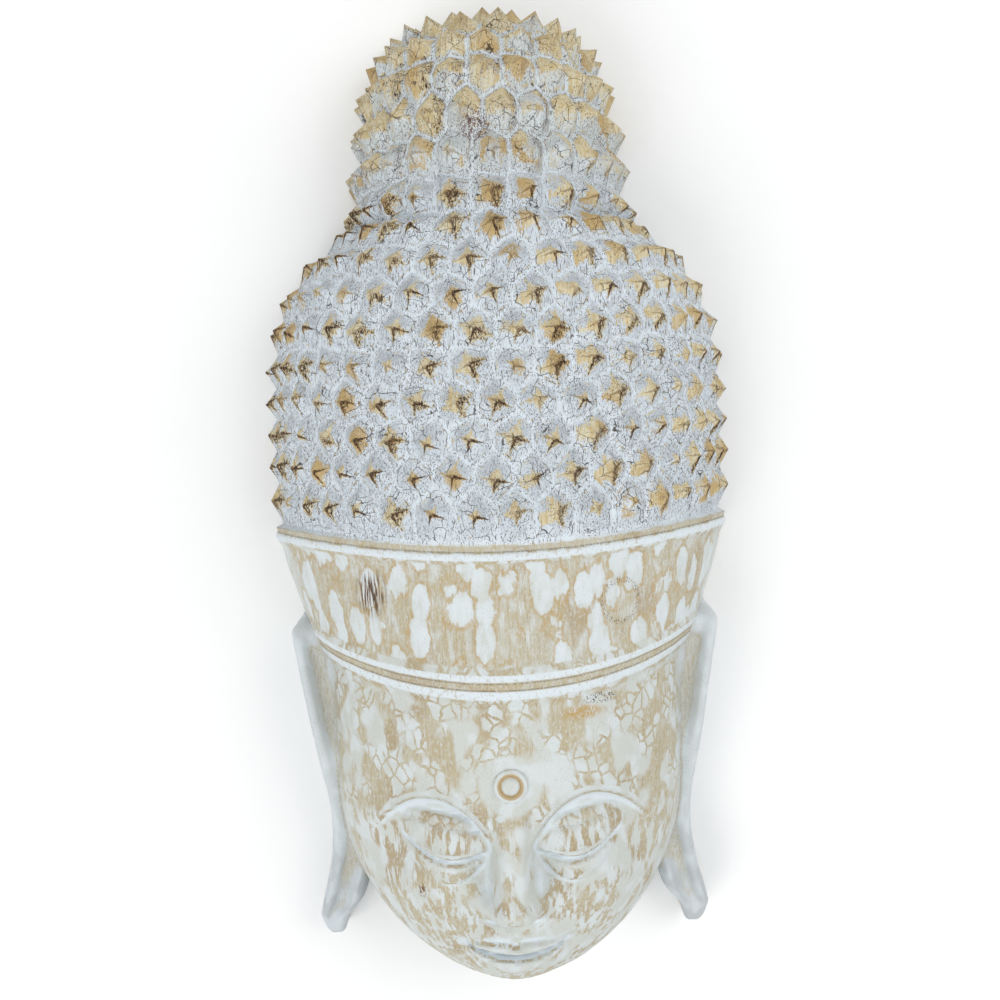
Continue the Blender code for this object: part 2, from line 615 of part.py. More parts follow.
def hollow():
    """The space carved out of the back, one wall inside the front."""
    rings = []
    top, bottom = level(HOLLOW_TOP), level(HOLLOW_BOTTOM)
    for k in range(HOLLOW_RINGS):
        turn = math.pi * (k + 0.6) / (HOLLOW_RINGS + 0.2)
        y = (top + bottom) / 2 + (top - bottom) / 2 * math.cos(turn)
        width, depth = hair_section(y) if y > level(HAIRLINE) else lower_section(y)
        face_width, _ = lower_section(min(y, level(0.30)))
        ends = closing(abs(2 * y - top - bottom) / (top - bottom), 3.0)
        half = (min(width, face_width + 12 * MM) - WALL) * ends
        deep = (depth - WALL) * ends
        ring = []
        for n in range(HOLLOW_POINTS):
            a = 2 * math.pi * n / HOLLOW_POINTS
            ring.append((half * math.cos(a), y, RIM_HEIGHT + deep * math.sin(a)))
        rings.append(ring)
    return tube(rings, (0.0, top, RIM_HEIGHT), (0.0, bottom, RIM_HEIGHT))


def block_below():
    """Everything under the back plane, to be cut away."""
    bm = bmesh.new()
    bmesh.ops.create_cube(bm, size=1.0)
    size = (3 * HAIR_HALF_WIDTH, 1.4 * MASK_LENGTH, 4 * HAIR_DEPTH)
    bmesh.ops.scale(bm, vec=size, verts=bm.verts[:])
    bmesh.ops.translate(bm, vec=(0, 0, -size[2] / 2), verts=bm.verts[:])
    return bm


def whitewashed_wood():
    material = bpy.data.materials.new("whitewashed_wood")
    material.use_nodes = True
    shader = material.node_tree.nodes["Principled BSDF"]
    shader.inputs["Base Color"].default_value = WOOD_COLOUR
    shader.inputs["Roughness"].default_value = WOOD_ROUGHNESS
    shader.inputs["Metallic"].default_value = 0.0
    return material


def make_object(name, bm, parent):
    mesh = bpy.data.meshes.new(name)
    bm.to_mesh(mesh)
    bm.free()
    made = bpy.data.objects.new(name, mesh)
    bpy.context.scene.collection.objects.link(made)
    made.parent = parent
    return made


def as_tool(made):
    """Hides an object that only joins or cuts another."""
    made.hide_render = True
    made.display_type = "WIRE"
    return made


def apply_to(made, tool, operation):
    modifier = made.modifiers.new(tool.name, "BOOLEAN")
    modifier.operation = operation
    modifier.object = tool
    modifier.solver = "EXACT"


def centre_on_floor(made, frame):
    """Moves the frame so that the origin is under the middle of the mask, on its back plane."""
    bpy.context.view_layer.update()
    shown = made.evaluated_get(bpy.context.evaluated_depsgraph_get())
    corners = np.array([shown.matrix_world @ v.co for v in shown.data.vertices])
    low, high = corners.min(0), corners.max(0)
    frame.location = (-(low[0] + high[0]) / 2, -(low[1] + high[1]) / 2, -low[2])


def main():
    for old in list(bpy.data.objects):
        bpy.data.objects.remove(old)
    frame = bpy.data.objects.new("mask_frame", None)
    bpy.context.scene.collection.objects.link(frame)
    sheet = Carving()
    carve_lower(sheet, carve_hair(sheet))
    close_back(sheet)
    mask = make_object("carved_mask", sheet.bm, frame)
    mask.data.materials.append(whitewashed_wood())
    for name, side in (("left_ear_tool", -1), ("right_ear_tool", 1)):
        apply_to(mask, as_tool(make_object(name, ear(side), frame)), "UNION")
    apply_to(mask, as_tool(make_object("urna_tool", urna(), frame)), "UNION")
    apply_to(mask, as_tool(make_object("hollow_tool", hollow(), frame)), "DIFFERENCE")
    apply_to(mask, as_tool(make_object("floor_tool", block_below(), frame)), "DIFFERENCE")
    centre_on_floor(mask, frame)


main()
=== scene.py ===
"""The finished look of the carved wooden Buddha mask: whitewashed wood, worn bare on the curls' tips.

The mask is one block of wood, so it is one mesh here as well. The mesh follows the same ground form and
carving as the solid it stands for, much finer, and each point carries numbers that the finish reads: where
it lies on its curl, how hollow the wood is there, and which part of the mask it belongs to.
+X is to the viewer's right, +Y runs from the chin to the topknot and +Z comes out of the face.
"""

import math

import bmesh
import bpy
import numpy as np
from mathutils import Matrix, Vector, bvhtree, kdtree, noise


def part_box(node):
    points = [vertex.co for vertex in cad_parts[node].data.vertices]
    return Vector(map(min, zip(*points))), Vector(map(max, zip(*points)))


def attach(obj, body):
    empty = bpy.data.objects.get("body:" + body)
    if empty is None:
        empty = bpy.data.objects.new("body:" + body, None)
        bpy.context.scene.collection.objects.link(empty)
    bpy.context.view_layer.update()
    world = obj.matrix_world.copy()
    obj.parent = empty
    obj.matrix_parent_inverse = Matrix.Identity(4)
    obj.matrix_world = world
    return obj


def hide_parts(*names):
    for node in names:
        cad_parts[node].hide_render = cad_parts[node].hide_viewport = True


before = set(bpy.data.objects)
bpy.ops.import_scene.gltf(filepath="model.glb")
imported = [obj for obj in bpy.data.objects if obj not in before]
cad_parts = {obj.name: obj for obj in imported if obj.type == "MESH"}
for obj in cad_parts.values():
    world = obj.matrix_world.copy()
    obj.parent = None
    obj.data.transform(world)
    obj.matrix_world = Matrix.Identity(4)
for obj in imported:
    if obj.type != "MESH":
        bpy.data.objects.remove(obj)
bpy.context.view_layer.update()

# Where the photograph was taken from: the lens in metres, tilt and roll in degrees, focal length in mm
CAMERA_PLACE = (0.0, 0.040, 0.695)
CAMERA_TILT = -3.5
CAMERA_ROLL = -2.1
CAMERA_LENS = 46.8
CAMERA_SENSOR = 36.0

# Driving sizes of the mask, in metres
MASK_LENGTH = 0.500
HAIR_HALF_WIDTH = 0.1140
HAIR_DEPTH = 0.1110
TOPKNOT_HALF_WIDTH = 0.0665
TOPKNOT_DEPTH = 0.0845
# The band stands out past the bottoms of the hair's grooves at the sides, narrows down to the tops of the
# ears, and lies back a little at the front, and the face lies back from the band
BAND_STAND_OUT = 0.0028
BAND_TAPER = 0.0076
BAND_SET_BACK = 0.0015
FACE_SET_BACK = 0.0015
BAND_HALF_WIDTH_TOP = HAIR_HALF_WIDTH + BAND_STAND_OUT
BAND_HALF_WIDTH_BOTTOM = BAND_HALF_WIDTH_TOP - BAND_TAPER
BAND_DEPTH = HAIR_DEPTH - BAND_SET_BACK
FACE_HALF_WIDTH = 0.0960
FACE_DEPTH = BAND_DEPTH - FACE_SET_BACK
WALL = 0.0220
RIM_HEIGHT = 0.0030
# One millimetre on a mask of this length: small relief is written in it, so it grows with the mask
MM = MASK_LENGTH / 500

# Curls: the spacing across a row, the spacing of the rows, and how far the tips stand out
CURL_PITCH = 0.0193
HAIR_ROW_PITCH = 0.0166
TOPKNOT_ROW_PITCH = 0.0195
HAIR_CURL_HEIGHT = 0.0062
TOPKNOT_CURL_HEIGHT = 0.0095
SADDLE_SHARE = 0.6
CURL_JITTER = 0.07
CURL_SEED = 11
ROW_SAG = 0.0022
ROW_CLIMB = 0.0062
HAIR_ROW_SHIFTS = (0.35, -0.15, 0.35, 0.05, 0.42, 0.52, 0.0, 0.5, 0.05)
TOPKNOT_ROW_SHIFTS = (0.05, 0.1, 0.38, 0.0, 0.05, 0.45, 0.0, 0.5)

# Beads of the forehead band and the relief of the face
BEAD_HEIGHT = 0.0021
BROW_ARCH_HEIGHT = 0.0019
NOSE_HEIGHT = 0.0175
SOCKET_DEPTH = 0.0070
EYE_BULGE = 0.0068
LIP_HEIGHT = 0.0050
CHIN_HEIGHT = 0.0085
URNA_RADIUS = 0.0078
URNA_HEIGHT = 0.0020

# Ears: width, depth from the back plane, and the groove cut into their fronts
EAR_WIDTH = 0.0270
EAR_UPPER_DEPTH = 0.0540
EAR_LOBE_DEPTH = 0.0340
EAR_SCOOP = 0.0080
EAR_PROFILE = (
    (0.00, 0.50, 0.0),
    (0.03, 0.84, 0.0),
    (0.12, 1.00, 0.0),
    (0.24, 1.00, 0.1),
    (0.36, 1.00, 0.9),
    (0.52, 1.00, 1.0),
    (0.66, 1.00, 0.5),
    (0.78, 1.00, 0.0),
    (0.92, 0.92, 0.0),
    (1.00, 0.70, 0.0),
)

# Levels, as shares of the length above the chin
HAIRLINE = 0.469
FIRST_ROW = 0.494
TOPKNOT_FIRST_ROW = 0.782
TOPKNOT_APEX = 0.968
BAND_TOP_LINE = 0.4655
BAND_BEADS = ((0.4665, 0.0046, 0.5), (0.4556, 0.0048, 1.0), (0.3410, 0.0048, 1.0), (0.3250, 0.0050, 0.8))
BAND_GROOVES = ((0.4725, 0.0022, 0.5), (0.4612, 0.0016, 0.5), (0.3330, 0.0040, 0.4))
# Lines of the finish on the band, level and half-width in MM: what gathers wash, lies bare or is dark
BAND_WHITE = ((0.4556, 2.1), (0.3410, 2.1), (0.3250, 2.6))
BAND_BARE = ((0.4640, 2.4), (0.3330, 3.4))
BAND_DARK = ((0.4690, 0.5), (0.4606, 0.5), (0.3362, 0.45), (0.3300, 0.45))
# Where the ovals of the band begin and end, each between two levels
BAND_BODY = (0.349, 0.353, 0.448, 0.452)
BAND_LOW = 0.328
BAND_RISE = 0.0350
BROW = BAND_LOW * 2 / 3
NOSE_BASE = BAND_LOW / 3
EYE = BROW - 0.036
MOUTH = NOSE_BASE * 2 / 3
LID = EYE - 0.0124
EAR_TOP = 0.384
LOBE_TIP = 0.036
HOLLOW_TOP = 0.790
HOLLOW_BOTTOM = 0.055
EYE_WIDTH = 2 * FACE_HALF_WIDTH * 0.82 / 5
NOSE_HALF_WIDTH = EYE_WIDTH / 2
MOUTH_HALF_WIDTH = 0.75 * EYE_WIDTH

# Two surfaces closer than this, in metres, count as one, and so do two points of the sheet and of its rim
TOUCH = 0.00001
WELD = 0.000001
RIM_WELD = 0.00002

# Fineness of the mesh, and the angle past which its edges stay sharp
SHARP_ANGLE = math.radians(34)
LAST_ANGLE = math.radians(97)
CURL_CUTS = 4
COLUMNS = 230
COLUMN_CROWDING = 0.62
ROW_SPACING = 0.0012
CHIN_TURN = 0.030
CHIN_TURN_ROWS = 16
EAR_RINGS = 84
EAR_SIDE_POINTS = 44
URNA_SIDES = 56
HOLLOW_RINGS = 54
HOLLOW_POINTS = 72
SKIRT = 0.020

# Marks of the chisel: how far the faces of a curl are cut in, how uneven the whole surface is, with how many
# waves in a metre, and the gouge's marks in the hollow
HAIR_FACE_CUT = 0.0010
TOPKNOT_FACE_CUT = 0.0004
UNEVENNESS = 0.00022
UNEVEN_WAVES = (90.0, 210.0, 520.0)
GOUGE_DEPTH = 0.0011
GOUGE_WIDTH = 0.013

# Hollowness of the points: name, rounds of smoothing that it is measured against, and the depth that
# counts as 1, in metres
HOLLOW_MARKS = (("fine_hollow", 4, 0.0004), ("broad_hollow", 30, 0.0012))
# Slow random numbers of the points: name, sizes of their patches in MM, and a shift
SLOW_MARKS = (
    ("slow_wear", (15, 22, 15), 3.0),
    ("slow_cloud", (8, 11, 8), 17.0),
    ("slow_stain", (22, 34, 22), 29.0),
    ("slow_zone", (11, 14, 11), 41.0),
)

# Colours of the finish, as display values from 0 to 255
WASH_BRIGHT = (217, 225, 230)
WASH = (199, 207, 214)
# Dull grey: the specks of the wash, and painted shade on the curls' upper faces and the ears' lower ends
WASH_SPECK_AND_SHADE = (158, 163, 166)
WASH_WARM = (197, 200, 194)
WASH_LOWER = (213, 221, 226)
VEIL = (155, 151, 138)
TAN_PALE = (211, 202, 174)
TAN = (199, 179, 133)
OCHRE = (180, 149, 92)
BROWN = (118, 82, 48)
DARK = (44, 31, 22)
PIT = (84, 76, 69)
PURPLE = (96, 66, 62)
FLOOR_COLOUR = (244, 244, 243)
FLOOR_MOTTLE = (240, 240, 240)
# Shares of wash that stay on worn wood below the hairline and on the hair
LOWER_VEIL = 0.50
HAIR_VEIL = 0.04
# The worn stars on the curls: the bend of their sides, their largest and smallest reach, and the length and
# the width at the tip of their dark arms, in MM
STAR_POWER = 0.62
STAR_REACH = (11.5, 5.0)
ARM_LENGTH = 9.0
ARM_WIDTH = 1.1

# Marks on the wood, each as a place on the front and half sizes in MM
KNOT_STAIN = ((-0.0052, 0.1758, 0.0881), (8.5, 8.5, 10.0))
BAND_STAIN = ((-0.0605, -0.0376, 0.0923), (11.0, 15.0, 14.0))
RING_STAIN = ((0.0538, -0.0449, 0.0978), (11.0, 11.0, 11.0))
BROW_STAIN = ((0.0346, -0.0953, 0.1037), (16.0, 4.5, 12.0))
DOT_STAIN = ((0.0429, -0.0895, 0.0996), (12.0, 3.2, 12.0))
CHEEK_KNOT = ((-0.0433, -0.1800, 0.0880), (2.6, 6.0, 14.0))
URNA_HALO = ((0.0, -0.1268, 0.1121), (18.0, 17.0, 20.0))
URNA_RING = ((0.0, -0.1268, 0.1121), (7.8, 7.8, 30.0))

# The floor lies just under the mask. Soft boxes: name, place in metres, side in metres and power in watts
FLOOR_DROP = 0.0005
FLOOR_HALF_SIDE = 4.0
SOFT_BOXES = (("key", (-0.9, -0.9, 1.5), 1.0, 11), ("fill", (1.1, 0.5, 1.5), 1.2, 10))
STUDIO_LIGHT = (0.97, 0.985, 1.0, 1.0)
STUDIO_STRENGTH = 0.80


def level(share):
    """Y of a level given as a share of the mask's length above the chin."""
    return (share - 0.5) * MASK_LENGTH


def step(low, high, value):
    """Smooth step from 0 at low to 1 at high."""
    t = np.clip((value - low) / (high - low), 0, 1)
    return t * t * (3 - 2 * t)


def closing(t, exponent):
    """1 up to t = 0, then a superellipse quarter that closes to 0 at t = 1."""
    t = np.clip(t, 0, 1)
    return (1 - t**exponent) ** (1 / exponent)


def soft_max(p, q, softness):
    """The larger of two lengths, with a rounded change-over."""
    return 0.5 * (p + q + np.sqrt((p - q) ** 2 + softness**2))


def bump(x, y, centre, radii):
    """A smooth round rise of height 1 over an ellipse."""
    r = ((x - centre[0]) / radii[0]) ** 2 + ((y - centre[1]) / radii[1]) ** 2
    return np.exp(-1.6 * r)


def ridge(distance, width):
    """A narrow line of height 1 and the given width."""
    return np.exp(-((2.2 * distance / width) ** 2))


def hair_section(y):
    """Half-width and depth of the hair at y, measured at the bottom of the grooves."""
    dome = closing((y - level(0.590)) / (0.193 * MASK_LENGTH), 2.75)
    dome_depth = closing((y - level(0.560)) / (0.338 * MASK_LENGTH), 2.0)
    up = np.clip((y - level(0.800)) / ((TOPKNOT_APEX - 0.800) * MASK_LENGTH), 0, 1)
    knot = TOPKNOT_HALF_WIDTH * (1 - 0.17 * up) * closing(up, 4.5)
    knot_depth = TOPKNOT_DEPTH * closing(up, 2.8)
    softness = 4 * MM * closing((y - level(0.80)) / (0.10 * MASK_LENGTH), 2)
    width = soft_max(HAIR_HALF_WIDTH * dome, knot, softness)
    depth = soft_max(HAIR_DEPTH * dome_depth, knot_depth, 0.6 * softness)
    return width, depth


def sag(angle):
    """How far a row of curls runs above its level, at an angle round the head."""
    return ROW_CLIMB * np.sin(1.35 * angle) ** 2 - ROW_SAG


def lower_section(y):
    """Half-width and depth of the band and the face on the line that crosses the centre at y."""
    face = FACE_HALF_WIDTH * closing((level(0.26) - y) / (0.26 * MASK_LENGTH), 2.1)
    face_depth = FACE_DEPTH * closing((level(0.30) - y) / (0.30 * MASK_LENGTH), 2.7)
    down = np.clip((level(HAIRLINE) - y) / (level(HAIRLINE) - level(0.384)), 0, None)
    band = BAND_HALF_WIDTH_TOP + (BAND_HALF_WIDTH_BOTTOM - BAND_HALF_WIDTH_TOP) * down**1.4
    in_band = step(level(BAND_LOW - 0.022), level(BAND_LOW + 0.006), y)
    return face + (band - face) * in_band, face_depth + (BAND_DEPTH - face_depth) * in_band


def ring_normal(angle, width, depth, width_slope, depth_slope):
    """Outward direction of the surface that half-rings of changing size make."""
    s, c = np.sin(angle), np.cos(angle)
    slope = s * s * width_slope * depth + c * c * depth_slope * width
    n = np.stack(np.broadcast_arrays(s * depth, -slope, c * width), axis=-1)
    return n / np.maximum(np.linalg.norm(n, axis=-1, keepdims=True), 1e-9)


class HairSurface:
    """The hair's ground form, addressed by the distance up its centre line and the angle round it."""

    def __init__(self, samples=800):
        turn = np.linspace(0, math.pi / 2, samples)
        low, high = level(HAIRLINE) - 12 * MM, level(TOPKNOT_APEX)
        self.y = low + (high - low) * np.sin(turn)
        self.width, self.depth = hair_section(self.y)
        self.width[-1] = self.depth[-1] = 0.0
        steps = np.hypot(np.diff(self.y), np.diff(self.depth))
        along = np.concatenate([[0.0], np.cumsum(steps)])
        self.up = along - np.interp(level(HAIRLINE), self.y, along)
        self.top = self.up[-1]
        self.neck = self.height_up(level(TOPKNOT_FIRST_ROW))

    def height_up(self, y):
        """Distance up the centre line at y."""
        return float(np.interp(y, self.y, self.up))

    def sizes(self, up):
        """Y, half-width and depth at a distance up the centre line."""
        return [float(np.interp(up, self.up, a)) for a in (self.y, self.width, self.depth)]

    def point(self, up, angle, height=0.0):
        up += float(sag(angle)) * float(step(self.neck, self.neck - 40 * MM, up))
        y, width, depth = self.sizes(up)
        gap = 1.5 * MM
        before, after = self.sizes(up - gap), self.sizes(min(up + gap, self.top))
        rise = max(after[0] - before[0], 1e-7)
        slopes = [(after[k] - before[k]) / rise for k in (1, 2)]
        near_top = float(step(self.top - 6 * MM, self.top, up))
        normal = ring_normal(angle, max(width, 1e-6), max(depth, 1e-6), *slopes)
        normal = normal * (1 - near_top) + np.array([0.0, 1.0, 0.0]) * near_top
        base = np.array([width * math.sin(angle), y, RIM_HEIGHT + depth * math.cos(angle)])
        return base + height * normal

    def angle_at(self, up, distance, height):
        """Angle at a distance along the row, measured at the curl tips from the centre."""
        _, width, depth = self.sizes(up)
        angles = np.linspace(0, math.radians(125), 200)
        x, z = (width + height) * np.sin(angles), (depth + height) * np.cos(angles)
        along = np.concatenate([[0.0], np.cumsum(np.hypot(np.diff(x), np.diff(z)))])
        return math.copysign(float(np.interp(abs(distance), along, angles)), distance)

    def speed(self, up, angle):
        """Length along the row for each radian."""
        _, width, depth = self.sizes(up)
        return math.hypot(width * math.cos(angle), depth * math.sin(angle))


def one_row(surface, up, shift, height, rng):
    """The curls of one row, from left to right, one past the back plane on each side."""
    most = 40
    row = []
    for k in range(-most, most + 1):
        along, lift, grow = rng.uniform(-CURL_JITTER, CURL_JITTER, 3)
        angle = surface.angle_at(up, (k + shift + along) * CURL_PITCH, height)
        row.append((up + lift * HAIR_ROW_PITCH, angle, height * (1 + 1.5 * grow)))
    past = math.radians(92)
    inside = [k for k, curl in enumerate(row) if abs(curl[1]) < past]
    return row[inside[0] - 1 : inside[-1] + 2]


def curl_rows(surface):
    """Rows of curls from the hairline up, each a list of (distance up, angle, height)."""
    levels = []
    for first, pitch, shifts, height in (
        (FIRST_ROW, HAIR_ROW_PITCH, HAIR_ROW_SHIFTS, HAIR_CURL_HEIGHT),
        (TOPKNOT_FIRST_ROW, TOPKNOT_ROW_PITCH, TOPKNOT_ROW_SHIFTS, TOPKNOT_CURL_HEIGHT),
    ):
        start = surface.height_up(level(first))
        levels += [(start + k * pitch, shift, height) for k, shift in enumerate(shifts)]
    rng = np.random.RandomState(CURL_SEED)
    rows = []
    for up, shift, height in levels:
        if up > surface.top - 0.5 * TOPKNOT_ROW_PITCH:
            break
        if rows and up - rows[-1][0][0] < 0.6 * HAIR_ROW_PITCH:
            continue
        rows.append(one_row(surface, up, shift, height, rng))
    rows.append([(surface.top, None, TOPKNOT_CURL_HEIGHT)])
    return rows


def strip(lower, upper):
    """Triangles of places between two rows: (row, place), with the pair that shares a row first."""
    i = j = 0
    while i < len(lower) - 1 or j < len(upper) - 1:
        if j == len(upper) - 1:
            forward = True
        elif i == len(lower) - 1:
            forward = False
        else:
            forward = abs(lower[i + 1] - upper[j]) < abs(lower[i] - upper[j + 1])
        if forward:
            yield (0, i), (0, i + 1), (1, j)
            i += 1
        else:
            yield (1, j), (1, j + 1), (0, i)
            j += 1


def on_topknot(height):
    """Whether a curl is one of the topknot's, which stand out further."""
    return height > 1.25 * HAIR_CURL_HEIGHT


def saddle(surface, p, q):
    """The low point of the ridge between two neighbouring curls."""
    (up_p, a_p, h_p), (up_q, a_q, h_q) = sorted((p, q), key=lambda curl: curl[0])
    a_p = a_q if a_p is None else a_p
    a_q = a_p if a_q is None else a_q
    up, angle = (up_p + up_q) / 2, (a_p + a_q) / 2
    apart = abs(a_p - a_q) * surface.speed(up, angle) + abs(up_p - up_q)
    row_pitch = TOPKNOT_ROW_PITCH if on_topknot(h_p) else HAIR_ROW_PITCH
    reach = (CURL_PITCH / 2 + row_pitch) / 2
    return up, angle, SADDLE_SHARE * (h_p + h_q) / 2 * max(0.0, 1 - apart / 2 / reach)


def groove(surface, p, q, s):
    """The bottom of the groove between two curls of one row and a curl of the next."""
    angle = (p[1] + q[1]) / 2
    pair_up = (p[0] + q[0]) / 2
    rise = abs(s[0] - pair_up)
    speed = surface.speed(pair_up, angle)
    half = abs(p[1] - q[1]) * speed / 2
    off = 0.0 if s[1] is None else abs(s[1] - angle) * speed
    share = min(max((rise + off - half) / 2 / rise, 0.12), 0.8 * half / (half + off))
    return pair_up + (s[0] - pair_up) * share, angle, 0.0


def curl_facets(surface, rows):
    """The cut faces of all the curls, each as three places (distance up, angle, height), the tip first."""
    for pair in zip(rows, rows[1:]):
        angles = [[0.0 if a is None else a for _, a, _ in row] for row in pair]
        for trio in strip(*angles):
            curls = [pair[k][i] for k, i in trio]
            low = groove(surface, *curls)
            for p, q in ((0, 1), (1, 2), (2, 0)):
                between = saddle(surface, curls[p], curls[q])
                yield curls[p], between, low
                yield curls[q], between, low
    for left, right in zip(rows[0], rows[0][1:]):
        between = saddle(surface, left, right)
        below, after = (0.0, left[1], 0.0), (0.0, right[1], 0.0)
        middle = (0.0, (left[1] + right[1]) / 2, 0.0)
        yield left, between, middle
        yield right, between, middle
        yield left, below, middle
        yield right, after, middle


class Carving:
    """The front of the mask as points and faces, with the numbers that each point carries."""

    marks = ("tip", "across", "along", "curl", "hair", "band_line")

    def __init__(self):
        self.points = []
        self.faces = []
        self.values = {mark: [] for mark in self.marks}
        self.count = 0

    def add(self, points, **values):
        """Adds an array of points and returns the number of the first one."""
        first = self.count
        self.points.append(points)
        for mark in self.marks:
            self.values[mark].append(np.broadcast_to(values.get(mark, 0.0), (len(points),)))
        self.count += len(points)
        return first

    def to_bmesh(self):
        mesh = bpy.data.meshes.new("carving")
        mesh.from_pydata(np.concatenate(self.points).tolist(), [], self.faces)
        for mark in self.marks:
            layer = mesh.attributes.new(mark, "FLOAT", "POINT")
            layer.data.foreach_set("value", np.concatenate(self.values[mark]).astype(np.float32))
        bm = bmesh.new()
        bm.from_mesh(mesh)
        bpy.data.meshes.remove(mesh)
        return bm


def facet_grid(cuts):
    """Weights of the points of a triangle with each edge cut into equal parts, and its small triangles."""
    weights, number = [], {}
    for i in range(cuts + 1):
        for j in range(cuts + 1 - i):
            number[i, j] = len(weights)
            weights.append(((cuts - i - j) / cuts, i / cuts, j / cuts))
    faces = []
    for i, j in number:
        if i + j < cuts:
            faces.append((number[i, j], number[i + 1, j], number[i, j + 1]))
        if i + j < cuts - 1:
            faces.append((number[i + 1, j], number[i + 1, j + 1], number[i, j + 1]))
    return np.array(weights), faces


def carve_hair(sheet):
    """Adds the curls, each face cut a little hollow, and returns the hairline as (angle, place)."""
    surface = HairSurface()
    rows = curl_rows(surface)
    places = {}

    def place(spot):
        if spot not in places:
            places[spot] = surface.point(spot[0], spot[1] or 0.0, spot[2])
        return places[spot]

    rng = np.random.RandomState(CURL_SEED + 1)
    numbers = {curl: rng.uniform() for row in rows for curl in row}
    corners, offsets, outward, number, cut = [], [], [], [], []
    for spots in curl_facets(surface, rows):
        tip = spots[0]
        speed = surface.speed(tip[0], tip[1] or 0.0)
        ground = place((tip[0], tip[1], 0.0))
        corners.append([place(spot) for spot in spots])
        for s in spots[1:]:
            turn = 0.0 if tip[1] is None else s[1] - tip[1]
            offsets.append((turn * speed, s[0] - tip[0]))
        outward.append((place(tip) - ground) / tip[2])
        number.append(numbers[tip])
        cut.append(TOPKNOT_FACE_CUT if on_topknot(tip[2]) else HAIR_FACE_CUT)
    corners, offsets = np.array(corners), np.array(offsets).reshape(-1, 2, 2)
    weights, faces = facet_grid(CURL_CUTS)
    points = np.einsum("kc,fcx->fkx", weights, corners)
    local = np.einsum("kc,fcx->fkx", weights[:, 1:], offsets)
    size = np.abs(local) / np.array([CURL_PITCH / 2, HAIR_ROW_PITCH])
    off_arms = 2 * size.min(-1) / np.maximum(size.sum(-1), 1e-9)
    at_tip = np.broadcast_to(weights[:, 0], off_arms.shape)
    depth = np.array(cut)[:, None] * 4 * at_tip * (1 - at_tip) * (0.15 + 0.85 * off_arms)
    points = points - depth[..., None] * np.array(outward)[:, None, :]
    each = len(weights)
    first = sheet.add(
        points.reshape(-1, 3),
        tip=at_tip.reshape(-1),
        across=local[..., 0].reshape(-1),
        along=local[..., 1].reshape(-1),
        curl=np.repeat(number, each),
        hair=1.0,
    )
    for f in range(len(points)):
        start = first + f * each
        sheet.faces.extend((start + a, start + b, start + c) for a, b, c in faces)
    hem = []
    for left, right in zip(rows[0], rows[0][1:]):
        hem += [left[1], (left[1] + right[1]) / 2]
    hem.append(rows[0][-1][1])
    line = []
    for a, b in zip(hem, hem[1:]):
        for k in range(CURL_CUTS):
            t = k / CURL_CUTS
            line.append((a + (b - a) * t, place((0.0, a, 0.0)) * (1 - t) + place((0.0, b, 0.0)) * t))
    line.append((hem[-1], place((0.0, hem[-1], 0.0))))
    return line


def band_relief(y):
    """Beads and grooves of the forehead band on the line that crosses the centre at y."""
    raised = sum(BEAD_HEIGHT * share * ridge(y - level(at), 2 * width) for at, width, share in BAND_BEADS)
    cut = sum(BEAD_HEIGHT * share * ridge(y - level(at), 2 * width) for at, width, share in BAND_GROOVES)
    return raised - cut


def brow_line(ax):
    """Y of the brow at a distance from the centre: an arch from the nose root to the temple."""
    t = np.clip((ax - 0.30 * EYE_WIDTH) / (1.85 * EYE_WIDTH), 0, 1)
    inner = 20 * MM * (1 - t / 0.46) ** 2 * (t < 0.46)
    outer = 19 * MM * ((t - 0.46) / 0.54) ** 2 * (t >= 0.46)
    return level(BROW) + 6.2 * MM - inner - outer


def lid_line(ax):
    """Y of the lowered upper lid's edge."""
    t = np.clip((ax - EYE_WIDTH) / EYE_WIDTH, -0.62, 0.75)
    return level(LID) + 15 * MM * t**2 + 4.6 * MM * t


def mouth_line(ax):
    """Y where the lips meet, rising a little to the corners."""
    t = np.clip(ax / MOUTH_HALF_WIDTH, 0, 1.2)
    return level(MOUTH) - 1 * MM + 3.4 * MM * t**2


def eye_relief(ax, y):
    """The socket under the brow, the lid over the eye and the slit below it."""
    side = (ax - EYE_WIDTH) / EYE_WIDTH
    below = brow_line(ax) - y
    across = step(-0.95, -0.45, side) * (1 - step(0.40, 1.60, side))
    socket = across * step(0.0, 6.5 * MM, below) * (1 - step(20 * MM, 44 * MM, below))
    arch = step(-0.80, -0.55, side) * (1 - step(0.75, 1.10, side))
    over = y - lid_line(ax)
    ball = (side / 0.66) ** 2 + ((over - 3.5 * MM) / (16.5 * MM)) ** 2
    bulge = np.clip(1 - ball, 0, 1) ** 0.7
    lid = step(-0.66, -0.50, side) * (1 - step(0.52, 0.70, side))
    slit = ridge(over + 1.4 * MM, 3.4 * MM) * lid
    lower = ridge(over + 5.4 * MM, 6 * MM) * lid
    rim = ridge(over - 0.8 * MM, 3 * MM) * lid
    fold = 12.5 * MM * np.clip(1 - (side / 0.74) ** 2, 0, 1) ** 0.5
    crease = ridge(over - fold - 1.5 * MM, 3 * MM) * lid
    eye = EYE_BULGE * bulge - 2.8 * MM * slit + 0.6 * MM * lower + 1.1 * MM * rim - 1.2 * MM * crease
    return eye - SOCKET_DEPTH * socket + BROW_ARCH_HEIGHT * ridge(below, 5.2 * MM) * arch


